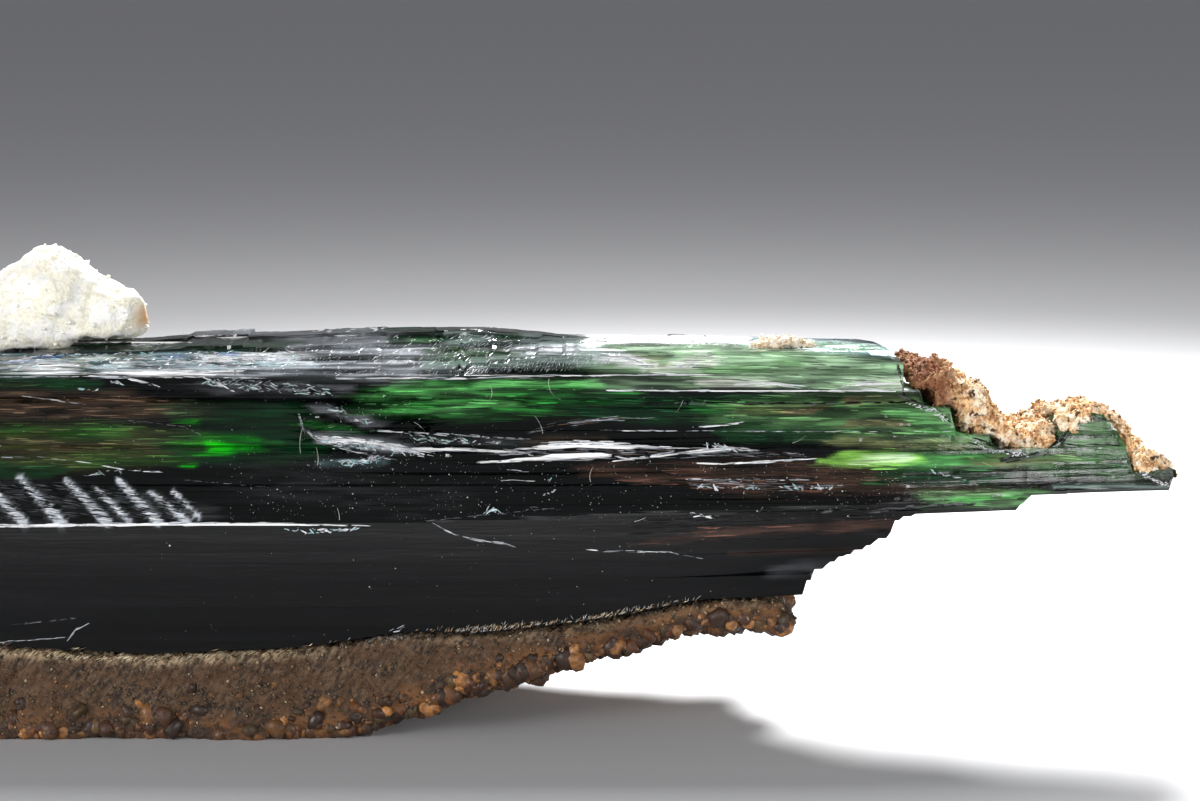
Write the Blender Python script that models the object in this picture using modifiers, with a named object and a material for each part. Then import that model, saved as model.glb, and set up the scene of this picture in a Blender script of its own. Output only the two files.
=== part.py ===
"""A hand specimen of vivianite: one long, layered crystal mass lying on the sandy crust it grew on, with clay
stuck to its broken right end and on its top.

X runs along the crystal, Y points to its back and Z up. The origin is on the surface that the specimen rests
on, below the middle of its length and depth. Places are written in millimetres and turned into metres by MM.
"""

import random

import bmesh
import bpy
from mathutils import Matrix

MM = 0.001
GAP = 0.35
HALF_LENGTH = 36.2
HALF_DEPTH = 10.6
TOP = 19.5
RIDGE_HEIGHT = 11.5
FAR = 60.0

# The crystal's long edges, each a line of corners (x, y, z) from the left end to the tip
FOOT_FRONT = [(-36, -7.6, 3.6), (-23, -8.8, 3.6), (0, -8.9, 3.9), (12, -8.6, 5.2), (36, -6.2, 12.4)]
RIDGE_FRONT = [
    (-36, -9.4, RIDGE_HEIGHT), (-23, -HALF_DEPTH, RIDGE_HEIGHT), (-3, -HALF_DEPTH, RIDGE_HEIGHT),
    (9, -10.2, 12.0), (20, -9.5, 12.2), (36, -6.4, 12.7),
]
LEDGE_FRONT = [(-36, -8.3, 14.9), (-23, -8.9, 14.7), (0, -8.9, 14.6), (20, -8.6, 14.8), (36, -6.0, 14.0)]
SHOULDER = [(-36, -6.6, 18.3), (0, -7.3, 18.4), (12, -7.4, 18.0), (22, -7.4, 17.7), (36, -5.4, 17.7)]
TOP_FRONT = [(-36, -3.8, TOP), (-6, -4.4, TOP), (12, -6.2, 19.8), (22, -6.4, TOP), (36, -4.6, TOP)]
TOP_BACK = [(-36, 5.6, 18.9), (-14, 4.6, TOP), (10, 3.0, TOP), (22, 1.0, TOP), (36, -1.2, TOP)]
RIDGE_BACK = [(-36, 9.6, 11.8), (-16, HALF_DEPTH, 12.2), (4, 9.4, 12.6), (20, 4.6, 13.0), (36, -0.6, 13.1)]
FOOT_BACK = [(-36, 8.0, 3.6), (-16, 8.6, 3.6), (4, 7.4, 4.2), (20, 2.6, 8.2), (36, -1.0, 12.6)]
FRONT_EDGES = (FOOT_FRONT, RIDGE_FRONT, LEDGE_FRONT, SHOULDER, TOP_FRONT)
BACK_EDGES = (FOOT_BACK, RIDGE_BACK, TOP_BACK)

# Where the crystal meets the sandy crust below it, seen from the front (x, z)
CONTACT = [
    (-40, 5.0), (-23, 4.9), (-16, 4.5), (-8, 4.9), (-3.2, 5.7), (0.8, 5.6),
    (6.8, 6.3), (11.8, 7.3), (17.0, 7.4), (40, 7.6),
]

# The cleavage sheets that the crystal is a stack of, from the lowest to the top one. Each has its height from
# and to, its left and right end, how much of it is missing in front and at the back, and how much further its
# right end reaches in front than at the back. A sheet reaches OVERLAP into the one above it.
OVERLAP = 0.12
SHEETS = (
    (None, RIDGE_HEIGHT, -33.6, 17.1, 0.0, 0.0, 1.2),
    (8.5, 9.1, 2.0, 18.4, 0.3, 0.8, 1.6),
    (9.0, 9.7, 4.0, 19.5, 0.25, 0.5, 1.0),
    (9.6, 10.3, 6.0, 20.4, 0.3, 1.1, 2.2),
    (10.2, 10.9, 7.0, 21.0, 0.2, 0.6, 1.4),
    (10.8, 11.6, 8.0, 22.2, 0.12, 0.9, 2.4),
    (11.45, 12.3, -34.6, 27.9, 0.0, 0.5, 2.0),
    (12.2, 12.9, -35.2, 28.9, 0.2, 0.9, 1.2),
    (12.8, 13.4, -34.4, HALF_LENGTH, 0.35, 0.4, 0.3),
    (13.3, 14.5, -HALF_LENGTH, 33.7, 0.15, 1.3, 0.8),
    (14.4, 15.2, -35.0, 26.6, 0.5, 0.6, 1.6),
    (14.4, 15.8, 30.2, 32.4, 0.7, 3.0, 0.4),
    (15.1, 16.6, -35.3, 24.6, 0.2, 0.3, 1.4),
    (16.5, 17.5, -33.8, 23.2, 0.55, 1.6, 0.6),
    (17.4, 18.3, -34.5, 22.2, 0.0, 0.7, 1.8),
    (18.2, 18.8, -21.2, 21.8, 0.35, 1.5, 0.9),
    (18.7, 19.2, -13.2, 21.1, 0.1, 0.4, 1.3),
    (19.1, 19.6, -10.4, -1.6, 0.9, 2.0, 1.0),
    (19.1, 19.7, -4.0, 9.4, 0.3, 2.4, 2.2),
    (19.6, 20.0, -0.8, 5.6, 1.6, 4.0, 1.8),
    (19.1, 19.6, 13.4, 20.5, 0.5, 1.6, 0.7),
)
# Splinters of sheets left along the front: height from and to, left and right end, how far they stand out
SPLINTERS = (
    (13.9, 14.4, -8.6, 14.0, 0.35),
    (15.6, 16.1, -31.0, -17.5, 0.3),
    (16.9, 17.3, 6.0, 21.6, 0.4),
    (12.5, 12.8, 9.5, 25.5, 0.25),
    (17.7, 18.05, -24.0, 1.5, 0.22),
)

# Upper outline of the clay on the broken upper right end, from the tip to its top (x, z)
CRUST_TOP = [
    (36.0, 13.4), (35.7, 14.2), (35.0, 14.9), (33.9, 15.6), (33.0, 16.5), (32.0, 17.1), (30.6, 17.0),
    (29.4, 16.2), (28.2, 15.9), (26.8, 16.9), (26.2, 18.2), (24.6, 18.7), (24.0, 19.3), (22.6, 19.4),
    (21.4, 18.9),
]
CRUST_DEPTH = 2.6

# Underside of the sandy crust at the front, from where it lifts off the surface to its right end (x, z)
CRUST_UNDERSIDE = [
    (-33.4, -0.6), (-6.6, -0.6), (-4.6, 0.4), (-1.8, 1.4), (1.8, 2.5),
    (4.8, 3.4), (8.0, 4.3), (11.8, 5.2), (16.6, 5.4),
]
SAND_VOXEL = 0.42
SAND_TRIANGLES = 3400
CLAY_VOXEL = 0.28
CLAY_TRIANGLES = 2300
LUMP_TRIANGLES = 700
PATCH_TRIANGLES = 220


def clear_scene():
    for obj in list(bpy.data.objects):
        bpy.data.objects.remove(obj)


def collection(name):
    made = bpy.data.collections.new(name)
    bpy.context.scene.collection.children.link(made)
    return made


def material(name, colour, roughness, transmission=0.0):
    made = bpy.data.materials.new(name)
    made.use_nodes = True
    shader = made.node_tree.nodes["Principled BSDF"]
    shader.inputs["Base Color"].default_value = (*colour, 1.0)
    shader.inputs["Roughness"].default_value = roughness
    shader.inputs["Metallic"].default_value = 0.0
    shader.inputs["Transmission Weight"].default_value = transmission
    return made


def object_from(bm, name, where):
    """Closes the bmesh off as an object, scaled to metres, with its faces pointing out."""
    bmesh.ops.triangulate(bm, faces=bm.faces)
    bmesh.ops.recalc_face_normals(bm, faces=bm.faces)
    bm.transform(Matrix.Scale(MM, 4))
    mesh = bpy.data.meshes.new(name)
    bm.to_mesh(mesh)
    bm.free()
    made = bpy.data.objects.new(name, mesh)
    where.objects.link(made)
    return made


def hide_tool(tool):
    tool.hide_render = True
    tool.display_type = "WIRE"


def combine(target, tool, operation):
    """A Boolean on target that keeps the tool as a hidden helper."""
    modifier = target.modifiers.new(operation.title() + " " + tool.name, "BOOLEAN")
    modifier.operation = operation
    modifier.object = tool
    modifier.solver = "EXACT"
    hide_tool(tool)


def along(edge, x):
    """The rest of the corner (y, z) or (z) of a long edge at x."""
    for start, end in zip(edge, edge[1:]):
        if x <= end[0]:
            share = (x - start[0]) / (end[0] - start[0])
            return [p + (q - p) * share for p, q in zip(start[1:], end[1:])]
    return list(edge[-1][1:])


def face_at(edges, x, z):
    """How far forward or back the crystal's face lies at x and the height z."""
    corners = [along(edge, x) for edge in edges]
    if z <= corners[0][1]:
        return corners[0][0]
    for (y0, z0), (y1, z1) in zip(corners, corners[1:]):
        if z <= z1:
            return y0 + (y1 - y0) * (z - z0) / (z1 - z0)
    return corners[-1][0]


def bar(name, sections, where):
    """A closed body from four-cornered sections along X."""
    bm = bmesh.new()
    rings = [[bm.verts.new(corner) for corner in section] for section in sections]
    for ring, following in zip(rings, rings[1:]):
        for k in range(4):
            bm.faces.new((ring[k], ring[(k + 1) % 4], following[(k + 1) % 4], following[k]))
    bm.faces.new(rings[0])
    bm.faces.new(rings[-1])
    return object_from(bm, name, where)


def stations(left, right):
    """Places along X for a sheet's sections, closer together on a short sheet."""
    count = max(2, round((right - left) / 6.5))
    return [left + (right - left) * k / count for k in range(count + 1)]


def sheet_body(name, sheet, where, grow=0.0, seed=0):
    """One cleavage sheet, a little uneven in front and behind, or with grow the room that it takes."""
    low, high, left, right, missing_front, missing_back, reach = sheet
    rng = random.Random(seed)
    places = stations(left, right)
    sections = []
    for number, x in enumerate(places):
        foot = along(CONTACT, x)[0] if low is None else low
        uneven = 0.0 if low is None else rng.uniform(-0.12, 0.12)
        front_low = face_at(FRONT_EDGES, x, foot) + missing_front + uneven - grow
        front_high = face_at(FRONT_EDGES, x, high) + missing_front + uneven - grow
        back_low = face_at(BACK_EDGES, x, foot) - missing_back + rng.uniform(-0.4, 0.4) + grow
        back_high = face_at(BACK_EDGES, x, high) - missing_back + rng.uniform(-0.4, 0.4) + grow
        in_front = at_back = x
        if number == 0:
            in_front = at_back = x - grow
        if number == len(places) - 1:
            in_front, at_back = x + grow, x - reach + grow
        sections.append((
            (in_front, front_low, foot - grow), (in_front - 0.2, front_high, high + OVERLAP + grow),
            (at_back - 0.2, back_high, high + OVERLAP + grow), (at_back, back_low, foot - grow),
        ))
    return bar(name, sections, where)


def splinter_body(name, splinter, where, grow=0.0):
    """A narrow ledge that stands out from the front and fades into it at both ends."""
    low, high, left, right, out = splinter
    fade = (right - left) * 0.15
    sections = []
    middle, stop = (left + right) / 2, right - fade
    for x, proud in ((left, -0.4), (left + fade, out), (middle, out * 0.8), (stop, out), (right, -0.4)):
        face_low, face_high = (face_at(FRONT_EDGES, x, z) for z in (low, high))
        sections.append((
            (x, face_low - proud - grow, low - grow), (x, face_high - proud * 0.6 - grow, high + grow),
            (x, face_high + 1.5, high + grow), (x, face_low + 1.5, low - grow),
        ))
    return bar(name, sections, where)


def slab(name, outline, y_from, y_to, where):
    """An outline in the XZ plane, extruded along Y as a closed mesh."""
    bm = bmesh.new()
    near = [bm.verts.new((x, y_from, z)) for x, z in outline]
    far = [bm.verts.new((x, y_to, z)) for x, z in outline]
    for k in range(len(outline)):
        after = (k + 1) % len(outline)
        bm.faces.new((near[k], near[after], far[after], far[k]))
    bm.faces.new(near)
    bm.faces.new(far)
    return object_from(bm, name, where)


def build_crystal(parts, tools):
    """The stack of sheets, grown together into one body."""
    crystal = sheet_body("vivianite_crystal", SHEETS[0], parts)
    for number, sheet in enumerate(SHEETS[1:], 1):
        combine(crystal, sheet_body(f"sheet_{number}", sheet, tools, seed=number), "UNION")
    for number, splinter in enumerate(SPLINTERS):
        combine(crystal, splinter_body(f"splinter_{number}", splinter, tools), "UNION")
    return crystal


def keep_clear_of_crystal(obj, lowest, highest, tools):
    """Cuts away the room that the crystal's sheets and ledges between two heights need, with a gap around."""
    for number, sheet in enumerate(SHEETS):
        if (sheet[0] or 0.0) < highest and sheet[1] > lowest:
            room = sheet_body(f"{obj.name}_clear_of_{number}", sheet, tools, GAP, number)
            combine(obj, room, "DIFFERENCE")
    for number, splinter in enumerate(SPLINTERS):
        if splinter[0] < highest and splinter[1] > lowest:
            room = splinter_body(f"{obj.name}_clear_of_splinter_{number}", splinter, tools, GAP)
            combine(obj, room, "DIFFERENCE")


def blobs(name, places, where):
    """Overlapping lumps (x, y, z, radius, flatness) as one loose mesh, which a Remesh then makes one body."""
    bm = bmesh.new()
    for x, y, z, radius, flatness in places:
        place = Matrix.Translation((x, y, z)) @ Matrix.Diagonal((radius, radius, radius * flatness, 1))
        bmesh.ops.create_icosphere(bm, subdivisions=2, radius=1, matrix=place)
    return object_from(bm, name, where)


def melt(obj, voxel):
    """Makes one closed body of obj's shapes."""
    remesh = obj.modifiers.new("One body", "REMESH")
    remesh.mode = "VOXEL"
    remesh.voxel_size = voxel * MM


def make_lumpy(obj, voxel, noise_size, strength):
    melt(obj, voxel)
    texture = bpy.data.textures.new(obj.name + "_lumps", "CLOUDS")
    texture.noise_scale = noise_size * MM
    texture.noise_depth = 2
    rough = obj.modifiers.new("Lumps", "DISPLACE")
    rough.texture = texture
    rough.texture_coords = "GLOBAL"
    rough.strength = strength * MM
    rough.mid_level = 0.5


def clean_up(obj, voxel, triangles):
    """Evens out what the cuts left and leaves obj about so many triangles."""
    melt(obj, voxel)
    bpy.context.view_layer.update()
    evaluated = obj.evaluated_get(bpy.context.evaluated_depsgraph_get())
    faces = sum(len(p.vertices) - 2 for p in evaluated.data.polygons)
    fewer = obj.modifiers.new("Fewer faces", "DECIMATE")
    fewer.ratio = min(1.0, triangles / faces)


def stack_outline():
    """The right side of the stack of sheets seen from the front, as steps, with the gap around it."""
    steps = []
    level = -FAR
    for sheet in sorted(SHEETS, key=lambda sheet: -sheet[3]):
        if sheet[2] < 25 and sheet[1] + OVERLAP + GAP > level:
            right, top = sheet[3] + GAP, sheet[1] + OVERLAP + GAP
            steps += [(right, level), (right, top)]
            level = top
    return [*steps, (-FAR, level), (-FAR, -FAR)]


def join(obj, other):
    """Adds the other object's mesh to obj's and removes the other."""
    bm = bmesh.new()
    bm.from_mesh(obj.data)
    bm.from_mesh(other.data)
    bm.to_mesh(obj.data)
    bm.free()
    bpy.data.objects.remove(other)


def build_sandy_matrix(parts, tools):
    """The crust below the crystal: a body under the contact line, with grains of coarse sand all round it."""
    rng = random.Random(5)
    places = []
    for (x0, z0), (x1, z1) in zip(CRUST_UNDERSIDE, CRUST_UNDERSIDE[1:]):
        count = max(1, round((x1 - x0) / 0.9))
        for k in range(count):
            x = x0 + (x1 - x0) * (k + 0.5) / count
            z = z0 + (z1 - z0) * (k + 0.5) / count
            back = along(FOOT_BACK, x)[0] - 0.4
            front = along(FOOT_FRONT, x)[0] + 0.9
            for row in range(round((back - front) / 2.4)):
                y = front + (row + rng.uniform(0.0, 0.8)) * 2.4
                radius = rng.uniform(0.5, 1.0)
                places.append((x, min(y, back), z + radius * 0.8, radius, 0.9))
            for height in (0.7, 1.6):
                radius = rng.uniform(0.5, 0.85)
                places.append((x, front - 0.3, z + height + rng.uniform(-0.2, 0.3), radius, 0.9))
    grains = blobs("sandy_matrix", places, parts)
    underside = [(x, z + 0.7) for x, z in CRUST_UNDERSIDE]
    upper_side = [(x, z + 0.2) for x, z in reversed(CONTACT[1:-1])]
    front, back = FOOT_FRONT[1][1] + 0.4, FOOT_BACK[1][1] - 0.6
    outline = [(-33.2, 5.0), *underside[:-1], (16.2, 6.2), *upper_side[1:]]
    join(grains, slab("crust_body", outline, front, back, tools))
    make_lumpy(grains, SAND_VOXEL, 2.6, 0.5)
    contact = [(x, z - GAP) for x, z in CONTACT[:-1]]
    above = [(-FAR, FAR), (-FAR, CONTACT[0][1] - GAP), *contact, (FAR, 7.4), (FAR, FAR)]
    combine(grains, slab("crystal_above", above, -FAR, FAR, tools), "DIFFERENCE")
    clean_up(grains, SAND_VOXEL, SAND_TRIANGLES)
    floor = [(-FAR, -20), (FAR, -20), (FAR, 0), (-FAR, 0)]
    combine(grains, slab("resting_surface", floor, -FAR, FAR, tools), "DIFFERENCE")
    return grains


def build_clay_crust(parts, tools):
    """Crumbly clay along the broken end, as deep as the crystal is there."""
    rng = random.Random(11)
    places = []
    for (x0, z0), (x1, z1) in zip(CRUST_TOP, CRUST_TOP[1:]):
        front = face_at(FRONT_EDGES, x0, z0) + 0.3
        back = face_at(BACK_EDGES, x0, z0) - 0.4
        for row in range(max(2, round((back - front) / 1.3))):
            share = rng.random()
            radius = rng.uniform(0.5, 0.9)
            places.append((
                x0 + (x1 - x0) * share, front + (row + rng.uniform(0.2, 0.9)) * 1.3,
                max(13.6, z0 + (z1 - z0) * share - radius), radius, 0.9,
            ))
    crust = blobs("clay_crust", places, parts)
    upper = [(x - 0.5, z - 0.6) for x, z in CRUST_TOP[1:]]
    lower = [(x - 0.9, z - CRUST_DEPTH) for x, z in CRUST_TOP[3:-2]]
    join(crust, slab("clay_body", [*upper, *reversed(lower)], -6.4, 0.4, tools))
    make_lumpy(crust, CLAY_VOXEL, 1.6, 0.4)
    combine(crust, slab("crystal_below", stack_outline(), -FAR, FAR, tools), "DIFFERENCE")
    keep_clear_of_crystal(crust, 15.3, 16.4, tools)
    clean_up(crust, CLAY_VOXEL, CLAY_TRIANGLES)
    return crust


def build_on_top(name, places, voxel, triangles, parts, tools):
    """Clay that sits on the crystal's flat top."""
    made = blobs(name, places, parts)
    make_lumpy(made, voxel, 2.2, 0.6)
    keep_clear_of_crystal(made, 17.3, 21.0, tools)
    clean_up(made, voxel, triangles)
    return made


def paint(obj, finish):
    obj.data.materials.clear()
    obj.data.materials.append(finish)


def main():
    clear_scene()
    parts = collection("vivianite_specimen")
    tools = collection("cutters")
    crystal = build_crystal(parts, tools)
    paint(crystal, material("vivianite", (0.012, 0.045, 0.018), 0.12, 0.8))
    matrix = build_sandy_matrix(parts, tools)
    paint(matrix, material("sandy ironstone", (0.13, 0.07, 0.035), 0.85))
    clay = material("clay", (0.62, 0.40, 0.21), 0.95)
    paint(build_clay_crust(parts, tools), clay)
    lump = [
        (-22.5, 3.2, 20.9, 2.9, 1.1), (-24.6, 3.4, 20.2, 2.6, 1.0), (-19.4, 2.8, 20.2, 2.1, 1.0),
        (-26.8, 3.2, 19.6, 2.4, 1.0), (-21.0, 3.0, 19.8, 2.4, 0.9), (-29.2, 3.0, 19.2, 1.6, 0.9),
    ]
    paint(build_on_top("clay_lump", lump, 0.4, LUMP_TRIANGLES, parts, tools), clay)
    patch = [(15.3, -3.8, 20.0, 0.8, 0.7), (16.3, -3.6, 20.1, 0.9, 0.7), (17.3, -3.4, 20.0, 0.7, 0.7)]
    paint(build_on_top("clay_patch", patch, 0.2, PATCH_TRIANGLES, parts, tools), clay)


main()
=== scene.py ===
import math

import bmesh
import bpy
import numpy as np
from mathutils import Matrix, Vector, noise
from mathutils.bvhtree import BVHTree


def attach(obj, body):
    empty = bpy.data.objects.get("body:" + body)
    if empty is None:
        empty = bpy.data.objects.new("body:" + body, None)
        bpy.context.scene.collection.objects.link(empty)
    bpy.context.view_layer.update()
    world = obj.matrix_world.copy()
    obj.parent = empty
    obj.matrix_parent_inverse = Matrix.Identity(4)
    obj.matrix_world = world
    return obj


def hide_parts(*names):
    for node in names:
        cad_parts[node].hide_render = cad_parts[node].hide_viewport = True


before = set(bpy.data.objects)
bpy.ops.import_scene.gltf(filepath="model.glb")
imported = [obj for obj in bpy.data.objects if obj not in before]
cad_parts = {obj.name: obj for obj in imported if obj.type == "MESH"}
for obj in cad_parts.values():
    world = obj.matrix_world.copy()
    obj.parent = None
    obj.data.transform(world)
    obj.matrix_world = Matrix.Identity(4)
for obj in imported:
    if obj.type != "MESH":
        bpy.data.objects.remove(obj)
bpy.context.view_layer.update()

# Places and sizes are written in millimetres and turned into metres by MM.
MM = 0.001

# The crystal's form, as in the part's source
FOOT_FRONT = [(-36, -7.6, 3.6), (-23, -8.8, 3.6), (0, -8.9, 3.9), (12, -8.6, 5.2), (36, -6.2, 12.4)]
RIDGE_FRONT = [
    (-36, -9.4, 11.5), (-23, -10.6, 11.5), (-3, -10.6, 11.5), (9, -10.2, 12.0), (20, -9.5, 12.2),
    (36, -6.4, 12.7),
]
LEDGE_FRONT = [(-36, -8.3, 14.9), (-23, -8.9, 14.7), (0, -8.9, 14.6), (20, -8.6, 14.8), (36, -6.0, 14.0)]
SHOULDER = [(-36, -6.6, 18.3), (0, -7.3, 18.4), (12, -7.4, 18.0), (22, -7.4, 17.7), (36, -5.4, 17.7)]
TOP_FRONT = [(-36, -3.8, 19.5), (-6, -4.4, 19.5), (12, -6.2, 19.8), (22, -6.4, 19.5), (36, -4.6, 19.5)]
TOP_BACK = [(-36, 5.6, 18.9), (-14, 4.6, 19.5), (10, 3.0, 19.5), (22, 1.0, 19.5), (36, -1.2, 19.5)]
RIDGE_BACK = [(-36, 9.6, 11.8), (-16, 10.6, 12.2), (4, 9.4, 12.6), (20, 4.6, 13.0), (36, -0.6, 13.1)]
FOOT_BACK = [(-36, 8.0, 3.6), (-16, 8.6, 3.6), (4, 7.4, 4.2), (20, 2.6, 8.2), (36, -1.0, 12.6)]
FRONT_EDGES = (FOOT_FRONT, RIDGE_FRONT, LEDGE_FRONT, SHOULDER, TOP_FRONT)
BACK_EDGES = (FOOT_BACK, RIDGE_BACK, TOP_BACK)
# How high the crust reaches up the crystal
CONTACT = [
    (-40, 5.0), (-23, 4.9), (-16, 4.5), (-8, 4.9), (-3.2, 5.7), (0.8, 5.6), (6.8, 6.3), (11.8, 7.3),
    (17.0, 7.4), (40, 7.6),
]
# How far the upper sheets reach into the one above
OVERLAP = 0.12
# Corners closer than this are one corner
SAME_PLACE = 0.00002
# Sheets: height from and to, left and right end, how much is missing in front and at the back
SHEETS = (
    (0.0, 11.5, -33.6, 17.1, 0.0, 0.0),
    (8.5, 9.1, 2.0, 18.4, 0.3, 0.8),
    (9.0, 9.7, 4.0, 19.5, 0.25, 0.5),
    (9.6, 10.3, 6.0, 20.4, 0.3, 1.1),
    (10.2, 10.9, 7.0, 21.0, 0.2, 0.6),
    (10.8, 11.6, 8.0, 22.2, 0.12, 0.9),
    (11.45, 12.3, -34.6, 27.9, 0.0, 0.5),
    (12.2, 12.9, -35.2, 28.9, 0.2, 0.9),
    (12.8, 13.4, -34.4, 36.2, 0.35, 0.4),
    (13.3, 14.5, -36.2, 33.7, 0.15, 1.3),
    (14.4, 15.2, -35.0, 26.6, 0.5, 0.6),
    (15.1, 16.6, -35.3, 24.6, 0.2, 0.3),
    (16.5, 17.5, -33.8, 23.2, 0.55, 1.6),
    (17.4, 18.3, -34.5, 22.2, 0.0, 0.7),
    (18.2, 18.8, -21.2, 21.8, 0.35, 1.5),
    (18.7, 19.2, -13.2, 21.1, 0.1, 0.4),
    (19.1, 19.6, -10.4, -1.6, 0.9, 2.0),
    (19.1, 19.7, -4.0, 9.4, 0.3, 2.4),
    (19.6, 20.0, -0.8, 5.6, 1.6, 4.0),
    (19.1, 19.6, 13.4, 20.5, 0.5, 1.6),
)
# The peak near the tip is broken finer than in the source
PEAK = (
    (14.4, 15.2, 29.9, 33.4, 0.5, 3.0),
    (15.1, 15.8, 30.8, 33.1, 0.6, 3.2),
    (15.7, 16.2, 31.5, 32.8, 0.7, 3.4),
)
# Splinters that stand out in front: height from and to, left and right end, and by how much
SPLINTERS = (
    (13.9, 14.4, -8.6, 14.0, 0.35),
    (15.6, 16.1, -31.0, -17.5, 0.3),
    (16.9, 17.3, 6.0, 21.6, 0.4),
    (12.5, 12.8, 9.5, 25.5, 0.25),
    (17.7, 18.05, -24.0, 1.5, 0.22),
)


# Small helpers
def along(edge, x):
    """The rest of the corner of a long edge at x."""
    for start, end in zip(edge, edge[1:]):
        if x <= end[0]:
            share = (x - start[0]) / (end[0] - start[0])
            return [p + (q - p) * share for p, q in zip(start[1:], end[1:])]
    return list(edge[-1][1:])


def face_at(corners, z):
    """How far back a side lies at z, between its corners of (y, z)."""
    if z <= corners[0][1]:
        return corners[0][0]
    for (y0, z0), (y1, z1) in zip(corners, corners[1:]):
        if z <= z1:
            return y0 + (y1 - y0) * (z - z0) / (z1 - z0)
    return corners[-1][0]


def smooth(low, high, value):
    """Rises softly from 0 at low to 1 at high."""
    share = np.clip((np.asarray(value, float) - low) / (high - low), 0.0, 1.0)
    return share * share * (3 - 2 * share)


def wander(x, size, seed):
    """A smooth random curve between -1 and 1, with bumps about size long."""
    values = np.random.default_rng(seed).uniform(-1, 1, 1024)
    place = np.asarray(x, float) / size + 300.0
    low = np.floor(place).astype(int)
    share = place - low
    share = share * share * (3 - 2 * share)
    return values[low % 1024] * (1 - share) + values[(low + 1) % 1024] * share


def runs(x, length, seed):
    """Random levels between 0 and 1, each kept over a run of about length."""
    rng = np.random.default_rng(seed)
    breaks = -40 + np.cumsum(rng.exponential(length, int(200 / length) + 30))
    return rng.uniform(0, 1, len(breaks) + 1)[np.searchsorted(breaks, x)]


def mesh_object(name, verts, faces):
    """A mesh with corners in millimetres."""
    mesh = bpy.data.meshes.new(name)
    mesh.from_pydata((np.asarray(verts) * MM).tolist(), [], faces)
    mesh.update()
    obj = bpy.data.objects.new(name, mesh)
    bpy.context.scene.collection.objects.link(obj)
    return obj


def applied(obj):
    """Applies obj's modifiers."""
    bpy.context.view_layer.update()
    mesh = bpy.data.meshes.new_from_object(obj.evaluated_get(bpy.context.evaluated_depsgraph_get()))
    obj.modifiers.clear()
    obj.data = mesh
    return obj


def store(obj, name, values):
    """Keeps three values a corner as a colour attribute."""
    layer = obj.data.color_attributes.new(name, "FLOAT_COLOR", "POINT")
    full = np.column_stack((values, np.ones(len(values))))
    layer.data.foreach_set("color", full.astype(np.float32).ravel())


def mend(obj, *steps):
    """Takes obj's mesh through the steps and turns its faces outwards."""
    bm = bmesh.new()
    bm.from_mesh(obj.data)
    for step in steps:
        step(bm)
    bmesh.ops.recalc_face_normals(bm, faces=bm.faces)
    bm.to_mesh(obj.data)
    bm.free()


def coords(obj):
    """The corners of obj, in metres."""
    co = np.empty(len(obj.data.vertices) * 3)
    obj.data.vertices.foreach_get("co", co)
    return co.reshape(-1, 3)


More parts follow.
